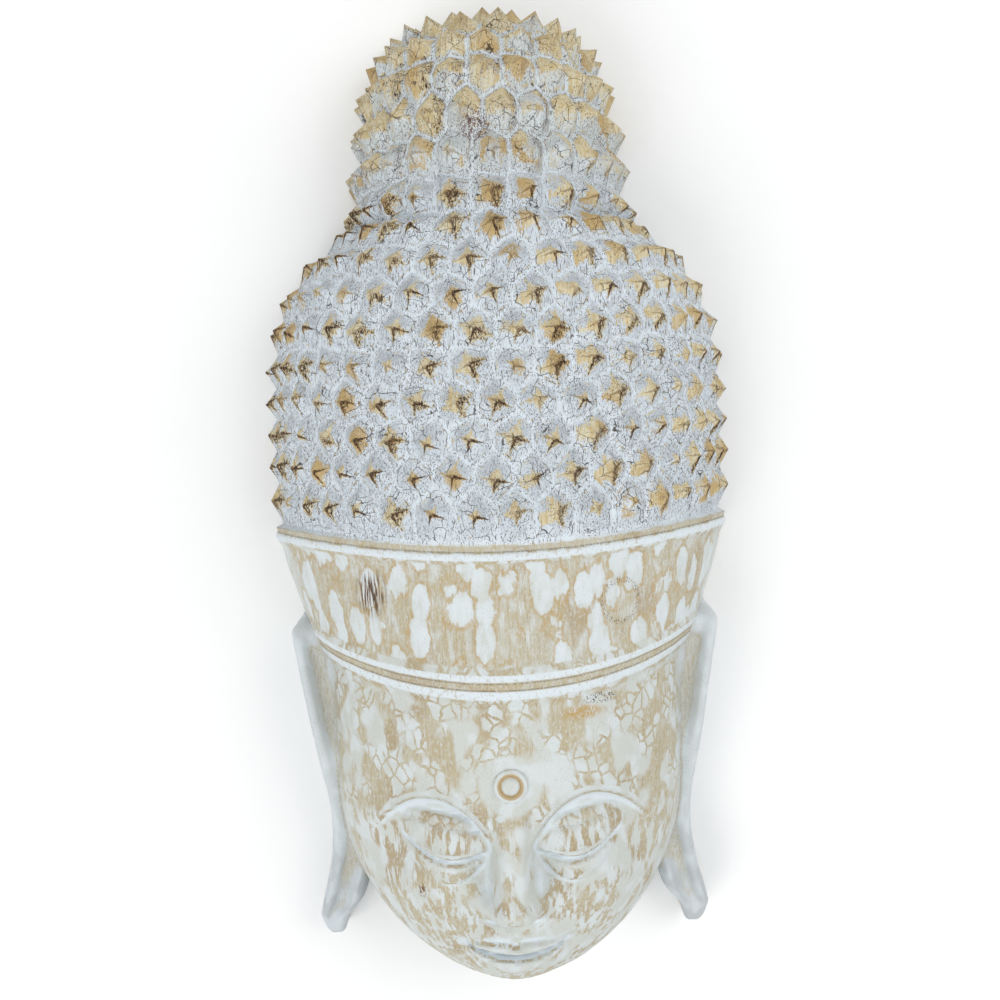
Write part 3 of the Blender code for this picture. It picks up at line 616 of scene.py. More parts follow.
def nose_relief(ax, y):
    """A straight nose: a narrow ridge between sloping flanks, a round tip, two wings and the nostrils."""
    root, tip, base = level(BROW) - 2 * MM, level(NOSE_BASE) + 8 * MM, level(NOSE_BASE)
    down = np.clip((root - y) / (root - tip), 0, 1)
    starts = step(root + 14 * MM, root - 6 * MM, y)
    ends = closing((tip + 1 * MM - y) / (tip + 2 * MM - base), 2.4)
    ridge_half = NOSE_HALF_WIDTH * (0.18 + 0.12 * down)
    flank = NOSE_HALF_WIDTH * (0.66 + 0.20 * down)
    section = 1 - step(0, 1, np.clip((ax - ridge_half) / (flank - ridge_half), 0, 1))
    bridge = NOSE_HEIGHT * (0.22 + 0.78 * down**1.2) * section * starts * ends
    ball = 2.2 * MM * bump(ax, y, (0, tip - 1 * MM), (10 * MM, 9 * MM))
    wings = 8.6 * MM * bump(ax, y, (0.70 * NOSE_HALF_WIDTH, base + 6.6 * MM), (6.8 * MM, 7.6 * MM))
    nostrils = 4.4 * MM * bump(ax, y, (0.44 * NOSE_HALF_WIDTH, base + 0.4 * MM), (4.6 * MM, 3 * MM))
    return bridge + (ball + wings) * ends - nostrils


def mouth_relief(ax, y):
    """Closed lips with a faint smile, the groove above them and the soft rise round them."""
    over = y - mouth_line(ax)
    t = ax / MOUTH_HALF_WIDTH
    inside = np.clip(1 - t**2, 0, 1)
    upper_edge = 7.8 * MM * inside**0.75 * (1 - 0.22 * ridge(ax, 8 * MM)) + 0.01 * MM
    lower_edge = 10 * MM * inside**0.60 + 0.01 * MM
    upper = np.clip(over / upper_edge, 0, 1)
    lower = np.clip(-over / lower_edge, 0, 1)
    lips = LIP_HEIGHT * (upper * (1 - upper) * 3.2 + lower * (1 - lower) * 4.2) * inside**0.35
    seam = 2.6 * MM * ridge(over, 3.2 * MM) * (1 - step(0.96, 1.14, t))
    muzzle = 6.6 * MM * bump(ax, y, (0, level(MOUTH)), (1.30 * EYE_WIDTH, 27 * MM))
    corner = 3 * MM * bump(ax, y, (1.10 * MOUTH_HALF_WIDTH, level(MOUTH) + 2.8 * MM), (5.2 * MM, 6.2 * MM))
    hollow_above = 1.4 * MM * ridge(ax, 6.6 * MM)
    hollow_above = hollow_above * step(7.4 * MM, 10 * MM, over) * step(20 * MM, 15 * MM, over)
    return muzzle + lips - seam - corner - hollow_above


def face_relief(x, y):
    """How far the face's carving stands out of its ground form."""
    ax = np.abs(x)
    chin = CHIN_HEIGHT * bump(ax, y, (0, level(0.046)), (25 * MM, 18 * MM))
    furrow = 3.4 * MM * bump(ax, y, (0, level(MOUTH) - 15.2 * MM), (19 * MM, 5.2 * MM))
    cheek = 4.6 * MM * bump(ax, y, (1.55 * EYE_WIDTH, level(NOSE_BASE) + 14 * MM), (31 * MM, 32 * MM))
    relief = eye_relief(ax, y) + nose_relief(ax, y) + mouth_relief(ax, y) + chin - furrow + cheek
    return relief * (1 - step(0.74, 0.96, ax / FACE_HALF_WIDTH)) * (1 - step(level(0.294), level(0.316), y))


def lower_points(shares, angles):
    """A grid of points of the band and the face, with the level of each."""
    centre_y, angle = np.broadcast_arrays(level(shares)[:, None], angles[None, :])
    gap = 0.8 * MM
    width, depth = lower_section(centre_y)
    wide, deep = lower_section(centre_y + gap)
    slim, flat = lower_section(centre_y - gap)
    slopes = (wide - slim) / (2 * gap), (deep - flat) / (2 * gap)
    normal = ring_normal(angle, np.maximum(width, 1e-6), np.maximum(depth, 1e-6), *slopes)
    low = step(level(HAIRLINE), level(BAND_LOW), centre_y)
    rise = BAND_RISE * MASK_LENGTH * low * step(level(EYE), level(BAND_LOW), centre_y) * np.sin(angle) ** 2
    y = centre_y + rise + sag(angle) * (1 - low)
    place = np.stack([width * np.sin(angle), y, RIM_HEIGHT + depth * np.cos(angle)], axis=-1)
    place = place + band_relief(centre_y)[..., None] * normal
    place[..., 2] += face_relief(place[..., 0], centre_y)
    return place, centre_y


def carve_lower(sheet, hem):
    """Adds the band and the face below the hairline, down to the chin."""
    t = np.linspace(-1, 1, COLUMNS + 1)
    angles = LAST_ANGLE * (COLUMN_CROWDING * t + (1 - COLUMN_CROWDING) * t**3)
    count = int((BAND_TOP_LINE - CHIN_TURN) * MASK_LENGTH / ROW_SPACING)
    turn = CHIN_TURN * (1 - np.sin(np.linspace(0, math.pi / 2, CHIN_TURN_ROWS, endpoint=False)))
    shares = np.concatenate([np.linspace(BAND_TOP_LINE, CHIN_TURN, count)[:-1], turn])
    grid, centre_y = lower_points(shares, angles)
    first = sheet.add(grid.reshape(-1, 3), band_line=centre_y.reshape(-1))
    wide = COLUMNS + 1
    for r in range(len(shares) - 1):
        for c in range(COLUMNS):
            a = first + r * wide + c
            sheet.faces.append((a, a + 1, a + wide + 1, a + wide))
    pole = sheet.add(np.array([[0.0, level(0.0), RIM_HEIGHT]]), band_line=level(0.0))
    last = first + (len(shares) - 1) * wide
    sheet.faces.extend((last + c, last + c + 1, pole) for c in range(COLUMNS))
    edge = sheet.add(np.array([place for _, place in hem]), hair=1.0, band_line=level(HAIRLINE))
    rows = list(range(first, first + wide)), list(range(edge, edge + len(hem)))
    for trio in strip(list(angles), [a for a, _ in hem]):
        sheet.faces.append(tuple(rows[r][k] for r, k in trio))


def close_back(bm):
    """Cuts the sheet at the rim's top and closes it downwards, past the back plane."""
    bmesh.ops.remove_doubles(bm, verts=bm.verts[:], dist=WELD)
    bmesh.ops.bisect_plane(
        bm,
        geom=bm.verts[:] + bm.edges[:] + bm.faces[:],
        dist=WELD,
        plane_co=(0, 0, RIM_HEIGHT),
        plane_no=(0, 0, 1),
        clear_inner=True,
    )
    bmesh.ops.remove_doubles(bm, verts=bm.verts[:], dist=RIM_WELD)
    edge = [e for e in bm.edges if e.is_boundary]
    made = bmesh.ops.extrude_edge_only(bm, edges=edge)["geom"]
    for v in made:
        if isinstance(v, bmesh.types.BMVert):
            v.co.z = -SKIRT
    bmesh.ops.holes_fill(bm, edges=[e for e in bm.edges if e.is_boundary], sides=0)
    bmesh.ops.recalc_face_normals(bm, faces=bm.faces[:])


def tube(rings, first_end, last_end):
    """A closed solid through rings of points, with a point at each end."""
    bm = bmesh.new()
    rows = [[bm.verts.new([float(c) for c in p]) for p in ring] for ring in rings]
    count = len(rows[0])
    for above, below in zip(rows, rows[1:]):
        for k in range(count):
            n = (k + 1) % count
            bm.faces.new((above[k], above[n], below[n], below[k]))
    for row, end in ((rows[0], first_end), (rows[-1], last_end)):
        pole = bm.verts.new([float(c) for c in end])
        for k in range(count):
            bm.faces.new((row[k], row[(k + 1) % count], pole))
    bmesh.ops.recalc_face_normals(bm, faces=bm.faces[:])
    return bm


def ear_outline(t):
    """Outer and inner distance from the centre, and depth, at a share of the way down the ear."""
    slant = BAND_HALF_WIDTH_BOTTOM + 0.8 * MM - 28.8 * MM * t
    flare = 20 * MM * float(np.clip((t - 0.50) / 0.42, 0, 1)) ** 2
    corner = -6 * MM * (1 - step(0.0, 0.05, t))
    outer = slant + flare + corner
    inner = outer - EAR_WIDTH + 5 * MM * step(0.66, 0.82, t) + 7 * MM * step(0.86, 0.98, t)
    depth = EAR_UPPER_DEPTH + (EAR_LOBE_DEPTH - EAR_UPPER_DEPTH) * step(0.30, 0.80, t)
    return outer, inner, depth


def smooth_profile(count):
    """The ear's cross-section with rounded corners, as (across, rise, groove)."""
    knots = np.array(EAR_PROFILE)
    t = np.linspace(0, 1, len(knots))
    fine = np.linspace(0, 1, 12 * len(knots))
    columns = []
    for k in range(3):
        values = np.interp(fine, t, knots[:, k])
        padded = np.pad(values, 6, mode="reflect", reflect_type="odd")
        columns.append(np.convolve(padded, np.hanning(15)[1:-1] / np.hanning(15).sum(), "valid"))
    picks = np.linspace(0, len(fine) - 1, count)
    return [tuple(float(np.interp(p, range(len(fine)), column)) for column in columns) for p in picks]


def ear_ring(t, side, profile):
    """Points round the ear at a share of the way down, with the groove in its front."""
    outer, inner, depth = ear_outline(t)
    tip = closing((t - 0.84) / 0.16, 2.0)
    head = 0.55 + 0.45 * closing((0.09 - t) / 0.09, 2.0)
    middle, half = (outer + inner) / 2, (outer - inner) / 2 * (0.20 + 0.80 * tip)
    height = depth * head * (0.4 + 0.6 * tip)
    scoop = EAR_SCOOP * (step(0.02, 0.12, t) - 0.80 * step(0.28, 0.46, t) + 0.30 * step(0.64, 0.74, t))
    scoop *= 1 - step(0.88, 0.96, t)
    y = level(EAR_TOP) + (level(LOBE_TIP) - level(EAR_TOP)) * t
    ring = [(middle + half, -SKIRT)]
    for across, rise, cut in profile:
        ring.append((middle + half * (1 - 2 * across), height * rise - scoop * cut))
    ring.append((middle - half, -SKIRT))
    return [(side * x, y, z) for x, z in ring]


def ear(side):
    """One long ear, from beside the band to the free end of its lobe."""
    profile = smooth_profile(EAR_SIDE_POINTS)
    shares = [0.5 - 0.5 * math.cos(math.pi * (k + 0.7) / (EAR_RINGS + 0.4)) for k in range(EAR_RINGS)]
    ends = []
    for t, share in ((0.0, EAR_TOP), (1.0, LOBE_TIP)):
        outer, inner, _ = ear_outline(t)
        ends.append((side * (outer + inner) / 2, level(share), 0.0))
    return tube([ear_ring(t, side, profile) for t in shares], *ends)


def urna():
    """The round mark between the brows: a low disc with a ring groove."""
    y = level(BROW) + 11 * MM
    _, depth = lower_section(y)
    ground = RIM_HEIGHT + float(depth) + float(face_relief(0.0, y))
    circles = [(URNA_RADIUS, ground - 6 * MM)]
    for share in np.linspace(1.0, 0.12, 16):
        dome = closing((share - 0.70) / 0.30, 2.0)
        lift = URNA_HEIGHT * (0.55 + 0.45 * dome - 0.75 * float(ridge(share - 0.58, 0.26)))
        circles.append((URNA_RADIUS * share, ground + lift))
    turns = np.linspace(0, 2 * math.pi, URNA_SIDES, endpoint=False)
    rings = [[(r * math.cos(a), y + r * math.sin(a), z) for a in turns] for r, z in circles]
    return tube(rings, (0, y, ground - 6 * MM), (0, y, ground + URNA_HEIGHT))


def hollow():
    """The space carved out of the back, one wall inside the front."""
    rings = []
    top, bottom = level(HOLLOW_TOP), level(HOLLOW_BOTTOM)
    for k in range(HOLLOW_RINGS):
        turn = math.pi * (k + 0.6) / (HOLLOW_RINGS + 0.2)
        y = (top + bottom) / 2 + (top - bottom) / 2 * math.cos(turn)
        width, depth = hair_section(y) if y > level(HAIRLINE) else lower_section(y)
        face_width, _ = lower_section(min(y, level(0.30)))
        ends = closing(abs(2 * y - top - bottom) / (top - bottom), 3.0)
        half = (min(width, face_width + 12 * MM) - WALL) * ends
        deep = (depth - WALL) * ends
        turns = [2 * math.pi * n / HOLLOW_POINTS for n in range(HOLLOW_POINTS)]
        rings.append([(half * math.cos(a), y, RIM_HEIGHT + deep * math.sin(a)) for a in turns])
    return tube(rings, (0.0, top, RIM_HEIGHT), (0.0, bottom, RIM_HEIGHT))


def block_below():
    """Everything under the back plane, to be cut away."""
    bm = bmesh.new()
    bmesh.ops.create_cube(bm, size=1.0)
    size = (3 * HAIR_HALF_WIDTH, 1.4 * MASK_LENGTH, 4 * HAIR_DEPTH)
    bmesh.ops.scale(bm, vec=size, verts=bm.verts[:])
    bmesh.ops.translate(bm, vec=(0, 0, -size[2] / 2), verts=bm.verts[:])
    return bm


def add_object(name, data):
    made = bpy.data.objects.new(name, data)
    bpy.context.scene.collection.objects.link(made)
    return made


def make_object(name, bm):
    mesh = bpy.data.meshes.new(name)
    bm.to_mesh(mesh)
    bm.free()
    return add_object(name, mesh)


def join_and_cut(made, tools):
    """Adds or cuts away each tool in turn and keeps the result as plain mesh."""
    for tool, operation, _ in tools:
        modifier = made.modifiers.new(tool.name, "BOOLEAN")
        modifier.operation = operation
        modifier.object = tool
        modifier.solver = "EXACT"
    shown = made.evaluated_get(bpy.context.evaluated_depsgraph_get())
    result = bpy.data.meshes.new_from_object(shown)
    made.modifiers.clear()
    carry_marks(made.data, tools, result)
    old, made.data = made.data, result
    bpy.data.meshes.remove(old)
    for tool, _, _ in tools:
        bpy.data.objects.remove(tool)


def carry_marks(base, tools, result):
    """Gives each point of the result the numbers of the nearest carved point, and the part it lies on."""
    tree = kdtree.KDTree(len(base.vertices))
    for vertex in base.vertices:
        tree.insert(vertex.co, vertex.index)
    tree.balance()
    nearest = np.array([tree.find(v.co)[1] for v in result.vertices])
    for mark in Carving.marks:
        set_marks(result, mark, marks_of(base, mark)[nearest])
    lies_on = {None: points_on([base], result)}
    for name in ("ear", "urna", "inside"):
        lies_on[name] = points_on([tool.data for tool, _, part in tools if part == name], result)
    lies_on["inside"] &= ~(lies_on[None] | lies_on["ear"] | lies_on["urna"])
    for name in ("ear", "urna", "inside"):
        set_marks(result, name, lies_on[name].astype(float))


def points_on(surfaces, result):
    """Which points of the result lie on any of these surfaces."""
    found = np.zeros(len(result.vertices), bool)
    for mesh in surfaces:
        corners = [v.co for v in mesh.vertices]
        tree = bvhtree.BVHTree.FromPolygons(corners, [list(p.vertices) for p in mesh.polygons])
        found |= np.array([tree.find_nearest(v.co)[3] < TOUCH for v in result.vertices])
    return found


def places_of(mesh):
    """Where the points lie."""
    values = np.zeros(len(mesh.vertices) * 3, dtype=np.float32)
    mesh.vertices.foreach_get("co", values)
    return values.reshape(-1, 3).astype(float)


def normals_of(mesh):
    """Which way the surface faces at each point."""
    return np.array([tuple(n.vector) for n in mesh.vertex_normals])


def marks_of(mesh, name):
    """A number that each point carries, or 0 where the mesh has none of that name."""
    values = np.zeros(len(mesh.vertices), dtype=np.float32)
    if name in mesh.attributes:
        mesh.attributes[name].data.foreach_get("value", values)
    return values.astype(float)


def set_marks(mesh, name, values):
    layer = mesh.attributes.get(name) or mesh.attributes.new(name, "FLOAT", "POINT")
    layer.data.foreach_set("value", np.asarray(values, dtype=np.float32))


def smoothed(values, edges, rounds):
    """Values averaged with their neighbours along the edges."""
    count = len(values)
    ends = np.concatenate([edges[:, 0], edges[:, 1]])
    others = np.concatenate([edges[:, 1], edges[:, 0]])
    share = np.maximum(np.bincount(ends, minlength=count), 1)
    values = values.reshape(count, -1)
    for _ in range(rounds):
        sums = [np.bincount(ends, weights=column[others], minlength=count) for column in values.T]
        values = 0.5 * values + 0.5 * np.stack(sums, axis=-1) / share[:, None]
    return values


def chisel_marks(mesh):
    """Moves the points a little along their normals, so that no face but the flat back is machine-flat."""
    places = places_of(mesh)
    inside = marks_of(mesh, "inside")
    gouge = np.array((GOUGE_WIDTH, 2.6 * GOUGE_WIDTH, GOUGE_WIDTH))
    slow, medium, quick = UNEVEN_WAVES
    lift = np.zeros(len(places))
    for k, place in enumerate(places):
        if place[2] < 0.1 * MM:
            continue
        if inside[k] > 0.5:
            lift[k] = -GOUGE_DEPTH * (1 - 1.3 * noise.voronoi(Vector(place / gouge))[0][0])
            continue
        p = Vector(place)
        waves = noise.noise(p * slow) + 0.6 * noise.noise(p * medium + Vector((7, 3, 1)))
        lift[k] = UNEVENNESS * (1.2 * waves + 0.5 * noise.noise(p * quick))
    places += lift[:, None] * normals_of(mesh)
    mesh.vertices.foreach_set("co", places.astype(np.float32).reshape(-1))
    mesh.update()


def measure_hollows(mesh):
    """Gives each point its hollowness, fine and broad: positive in grooves, negative on ridges."""
    places, normals = places_of(mesh), normals_of(mesh)
    edges = np.array([tuple(edge.vertices) for edge in mesh.edges])
    for name, rounds, unit in HOLLOW_MARKS:
        gap = ((smoothed(places, edges, rounds) - places) * normals).sum(1)
        gap = smoothed(gap, edges, 2)[:, 0]
        set_marks(mesh, name, np.clip(gap / unit, -1, 1))


def scatter_marks(mesh):
    """Gives each point slow random numbers, about 0.5 in the middle, for where the finish changes."""
    places = places_of(mesh)
    for name, sizes, shift in SLOW_MARKS:
        spots = places / (np.array(sizes) * MM) + shift
        values = [noise.noise(Vector(p)) + 0.5 * noise.noise(Vector(2.1 * p)) for p in spots]
        set_marks(mesh, name, 0.5 + 0.42 * np.array(values))


def move_to_frame(made):
    """Puts the mesh where the solid is, with the middles of their boxes in line."""
    low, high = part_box("carved_mask")
    places = places_of(made.data)
    shift = (np.array(low) + np.array(high)) / 2 - (places.min(0) + places.max(0)) / 2
    shift[2] = low[2] - places[:, 2].min()
    made.data.transform(Matrix.Translation(Vector(shift)))
    made.data.update()


def build_mask():
    sheet = Carving()
    carve_lower(sheet, carve_hair(sheet))
    bm = sheet.to_bmesh()
    close_back(bm)
    mask = make_object("whitewashed_mask", bm)
    shapes = (
        ("left_ear_tool", ear(-1), "UNION", "ear"),
        ("right_ear_tool", ear(1), "UNION", "ear"),
        ("urna_tool", urna(), "UNION", "urna"),
        ("hollow_tool", hollow(), "DIFFERENCE", "inside"),
        ("floor_tool", block_below(), "DIFFERENCE", "inside"),
    )
    join_and_cut(mask, [(make_object(name, bm), operation, part) for name, bm, operation, part in shapes])
    chisel_marks(mask.data)
    measure_hollows(mask.data)
    scatter_marks(mask.data)
    move_to_frame(mask)
    mask.data.shade_smooth()
    mask.data.set_sharp_from_angle(angle=SHARP_ANGLE)
    return mask


def colour(display):
    """Linear colour of a display colour from 0 to 255."""
    values = [c / 255 for c in display]
    return (*[v / 12.92 if v <= 0.04045 else ((v + 0.055) / 1.055) ** 2.4 for v in values], 1.0)


class Finish:
    """Short names for the nodes of one material. Sizes of patterns are in MM."""

    def __init__(self, name):
        self.material = bpy.data.materials.new(name)
        self.material.use_nodes = True
        self.tree = self.material.node_tree
        self.shader = self.tree.nodes["Principled BSDF"]
        self.place = self.node("ShaderNodeTexCoord").outputs["Object"]
        axes = self.node("ShaderNodeSeparateXYZ", Vector=self.place)
        self.x, self.y, self.z = axes.outputs[0], axes.outputs[1], axes.outputs[2]

    def feed(self, socket, value):
        if isinstance(value, bpy.types.NodeSocket):
            self.tree.links.new(value, socket)
        else:
            socket.default_value = value

    def node(self, kind, settings=None, **inputs):
        made = self.tree.nodes.new(kind)
        for key, value in (settings or {}).items():
            setattr(made, key, value)
        for name, value in inputs.items():
            self.feed(made.inputs[name], value)
        return made

    def mark(self, name):
        """A number that the mesh's points carry."""
        return self.node("ShaderNodeAttribute", {"attribute_name": name}).outputs["Fac"]

    def operate(self, kind, operation, values):
        made = self.node(kind, {"operation": operation})
        for k, value in enumerate(values):
            self.feed(made.inputs[k], value)
        return made

    def number(self, operation, *values):
        return self.operate("ShaderNodeMath", operation, values).outputs[0]

    def vector(self, operation, *values, output="Vector"):
        return self.operate("ShaderNodeVectorMath", operation, values).outputs[output]

    def chain(self, operation, values):
        result = values[0]
        for value in values[1:]:
            result = self.number(operation, result, value)
        return result

    def times(self, *values):
        return self.chain("MULTIPLY", values)

    def plus(self, *values):
        return self.chain("ADD", values)

    def highest(self, *values):
        return self.chain("MAXIMUM", values)

    def less(self, first, second):
        return self.number("SUBTRACT", first, second)

    def size(self, value):
        return self.number("ABSOLUTE", value)

    def draw(self, random, spread):
        """Another random number from 0 to 1, made from the first."""
        return self.number("FRACT", self.times(random, spread))

    def rise(self, value, low, high, top=1.0, bottom=0.0):
        """Top past high, bottom past low, and smooth between: high may be the smaller of the two."""
        made = self.node("ShaderNodeMapRange", {"interpolation_type": "SMOOTHSTEP"}, Value=value)
        if low > high:
            low, high, top, bottom = high, low, bottom, top
        for name, number in (("From Min", low), ("From Max", high), ("To Min", bottom), ("To Max", top)):
            made.inputs[name].default_value = number
        return made.outputs[0]

    def between(self, value, low, full, still_full, high):
        """1 between full and still_full, and 0 past low and past high."""
        return self.times(self.rise(value, low, full), self.rise(value, high, still_full))

    def choose(self, mark, yes, no):
        """The number yes where the mark is 1, and no where it is 0."""
        return self.rise(mark, 0.0, 1.0, yes, no)

    def blend(self, data_type, socket_type, share, *pair):
        made = self.node("ShaderNodeMix", {"data_type": data_type}, Factor=share)
        for name, value in zip("AB", pair):
            self.feed(next(s for s in made.inputs if s.name == name and s.type == socket_type), value)
        return next(s for s in made.outputs if s.type == socket_type)

    def mix(self, share, first, second):
        """The first colour where the share is 0, and the second where it is 1."""
        pair = [c if isinstance(c, bpy.types.NodeSocket) else colour(c) for c in (first, second)]
        return self.blend("RGBA", "RGBA", share, *pair)

    def mix_number(self, share, first, second):
        return self.blend("FLOAT", "VALUE", share, first, second)

    def layered(self, base, *layers):
        """Lays each (share, colour) in turn over what is below it."""
        for share, paint in layers:
            base = self.mix(share, base, paint)
        return base

    def spread(self, sizes, shift=0.0, warp=None):
        """Coordinates in which one unit is the given length along each axis."""
        made = self.node("ShaderNodeMapping", Vector=warp or self.place)
        made.inputs["Scale"].default_value = [1 / (s * MM) for s in sizes]
        made.inputs["Location"].default_value = (shift, 1.7 * shift, 0.6 * shift)
        return made.outputs[0]

    def noise(self, sizes, shift=0.0, detail=2.0, roughness=0.5, output=0):
        """Smooth random numbers, about 0.5 in the middle."""
        place = self.spread(sizes, shift)
        made = self.node("ShaderNodeTexNoise", Vector=place, Scale=1.0, Detail=detail, Roughness=roughness)
        return made.outputs[output]

    def cells(self, sizes, shift, warp, feature="F1"):
        """A random mosaic, bent by a warp."""
        place = self.spread(sizes, shift, warp)
        return self.node("ShaderNodeTexVoronoi", {"feature": feature}, Vector=place, Scale=1.0).outputs

    def warped(self, sizes, reach, shift):
        """The place of a point, pushed about by noise."""
        push = self.vector("SUBTRACT", self.noise(sizes, shift, output="Color"), (0.5, 0.5, 0.5))
        return self.vector("MULTIPLY_ADD", push, (reach * MM, reach * MM, reach * MM), self.place)

    def far(self, stain):
        """Distance from the middle of an ellipsoid round a place, 1 at its edge."""
        place, sizes = stain
        gap = self.vector("SUBTRACT", self.place, place)
        return self.vector("LENGTH", self.vector("DIVIDE", gap, [s * MM for s in sizes]), output="Value")

    def spot(self, stain, softness):
        """1 inside an ellipsoid round a place, fading to 0 at its edge."""
        return self.rise(self.far(stain), 1.0, 1.0 - softness)

    def on_lines(self, line, lines):
        """1 along lines of the band, fading to 0 over their half-widths."""
        found = []
        for at, half_width in lines:
            gap = self.size(self.less(line, level(at)))
            found.append(self.rise(gap, half_width * MM, 0.55 * half_width * MM))
        return self.highest(*found)


class WoodFinish(Finish):
    """The finish of the mask, with the numbers that several of its layers read."""

    def __init__(self, name):
        super().__init__(name)
        self.hair, self.ear, self.urna, self.line = map(self.mark, ("hair", "ear", "urna", "band_line"))
        self.tip, self.curl, self.along, self.across = map(self.mark, ("tip", "curl", "along", "across"))
        self.fine, self.broad = self.mark("fine_hollow"), self.mark("broad_hollow")
        self.wear, self.cloud, self.stain, self.zone = [self.mark(name) for name, _, _ in SLOW_MARKS]
        self.lower = self.less(1.0, self.hair)
        self.band = self.less(self.lower, self.ear)
        self.knot = self.times(self.hair, self.rise(self.y, level(0.775), level(0.85)))
        self.ragged = self.noise((1.2, 2.2, 1.2), 41.0, 3.0, 0.7)
        self.scratch = self.noise((0.45, 3.6, 0.45), 91.0, 2.0, 0.6)
        self.speck = self.noise((0.8, 1.4, 0.8), 33.0, 3.0, 0.7)
        self.wipe = self.noise((3.4, 15, 3.4), 81.0, 4.0, 0.62)
        self.pit = self.noise((0.5, 0.9, 0.5), 101.0, 1.0)
        self.warp = self.warped((6, 6, 6), 4, 2.0)
        self.edge = self.cells((6.4, 7.2, 6.4), 12.0, self.warp, "DISTANCE_TO_EDGE")["Distance"]


def bare_wood(f):
    """Pale and golden streaks along the grain, with dark pores."""
    return f.layered(
        f.mix(f.rise(f.noise((1.4, 24, 1.4), 3.0, 3.0, 0.6), 0.38, 0.62), TAN_PALE, TAN),
        (f.rise(f.stain, 0.50, 0.72, 0.75), OCHRE),
        (f.rise(f.noise((0.5, 4.5, 0.5), 21.0, 1.0), 0.60, 0.72, 0.5), BROWN),
    )


def white_wash(f, gathered):
    """Cool white with specks and dark hairs on the hair, warmer elsewhere, brightest where it gathered, with
    painted shade on the curls' upper faces and the ears' lower ends.
    """
    cool = f.highest(f.times(f.hair, f.choose(f.knot, 0.25, 1.0)), f.times(f.ear, 0.5))
    speckled = f.times(f.rise(f.speck, 0.52, 0.34), f.choose(f.hair, 0.70, 0.12))
    # Painted shade: the faces above each curl's tip are laid over with duller grey
    upper = f.times(f.hair, f.rise(f.along, -1.0 * MM, 2.5 * MM), f.rise(f.tip, 0.15, 0.35, 0.32))
    return f.layered(
        f.mix(cool, WASH_WARM, WASH),
        (speckled, WASH_SPECK_AND_SHADE),
        (upper, WASH_SPECK_AND_SHADE),
        # Painted shade: the ears turn duller grey towards the lower ends of the lobes
        (f.times(f.ear, f.rise(f.y, level(0.20), level(0.10), 0.45)), WASH_SPECK_AND_SHADE),
        (f.rise(f.cloud, 0.42, 0.66, 0.45), f.mix(f.hair, WASH_LOWER, WASH_BRIGHT)),
        (f.times(gathered, f.choose(f.hair, 0.6, 0.9)), f.mix(cool, WASH_LOWER, WASH_BRIGHT)),
        (f.times(f.hair, f.rise(f.scratch, 0.56, 0.66, 0.90)), PIT),
    )


def dark_arm(f, out, off):
    """A thin tapering line that starts beside the tip: out along it, off across it, in MM."""
    inside = f.rise(f.number("MULTIPLY_ADD", out, ARM_WIDTH / ARM_LENGTH, off), ARM_WIDTH, 0.6 * ARM_WIDTH)
    return f.times(inside, f.rise(out, -0.4, 0.8))


def worn_stars(f):
    """Stars worn bare on the curls, and the dark marks there: patches on the right of the tips, and thin
    arms out from the tips.
    """
    across, along = f.times(f.across, 1 / MM), f.times(f.along, 1 / MM)
    lean = f.rise(f.curl, 0.0, 1.0, 0.45, -0.45)
    jag = f.rise(f.ragged, 0.2, 0.8, 1.0, -1.0)
    turned = f.number("MULTIPLY_ADD", along, lean, across)
    upward = f.less(along, f.times(across, lean))
    wide, high = f.size(turned), f.size(upward)
    powers = [f.number("POWER", side, STAR_POWER) for side in (wide, high)]
    reach = f.number("POWER", f.plus(*powers), 1 / STAR_POWER)
    reach = f.number("DIVIDE", reach, f.rise(f.draw(f.curl, 7.3), 0.0, 1.0, *STAR_REACH))
    reach = f.number("MULTIPLY_ADD", jag, 0.45, reach)
    smear = f.times(
        f.rise(turned, 1.0, -1.0),
        f.rise(f.number("MULTIPLY_ADD", jag, 1.5, high), 4.0, 2.6),
        f.rise(f.x, -20 * MM, 30 * MM),
        f.rise(f.draw(f.curl, 5.1), 0.40, 0.55),
    )
    wobble = f.times(jag, 0.45)
    off_level, off_upright = f.size(f.plus(upward, wobble)), f.size(f.plus(turned, wobble))
    arms = f.highest(
        dark_arm(f, turned, off_level),
        f.times(dark_arm(f, f.times(turned, -1.2), off_level), 0.4),
        dark_arm(f, f.times(upward, -1.1), off_upright),
    )
    arms = f.times(arms, f.rise(f.draw(f.curl, 11.9), 0.15, 0.40, 1.0, 0.35))
    # Dark patches on the right of the tips of most curls, inside the star, broken by fine scratches
    sides = f.times(
        f.rise(reach, 0.95, 0.60),
        f.rise(f.less(turned, f.times(upward, 0.5)), 0.2, 1.8),
        f.rise(f.draw(f.curl, 3.7), 0.12, 0.32),
        f.rise(f.scratch, 0.62, 0.42),
    )
    on_curl = f.times(f.hair, f.rise(f.tip, 0.10, 0.24))
    star = f.times(on_curl, f.highest(f.rise(reach, 1.15, 0.75), smear), f.choose(f.knot, 0.35, 1.0))
    return star, f.times(on_curl, f.highest(arms, sides), f.choose(f.knot, 0.25, 1.0))


def worn_topknot(f):
    """The topknot is worn most: whole curls, or their upper faces only."""
    higher = f.rise(f.y, level(0.80), level(0.95), 0.30)
    wear = f.rise(f.plus(f.wear, higher), 0.44, 0.62)
    whole = f.rise(f.plus(f.draw(f.curl, 4.3), higher), 0.55, 0.75)
    worn = f.highest(f.rise(f.along, -4.0 * MM, 0.0), f.times(whole, 0.85))
    return f.times(f.knot, f.rise(f.tip, 0.06, 0.20), wear, worn)


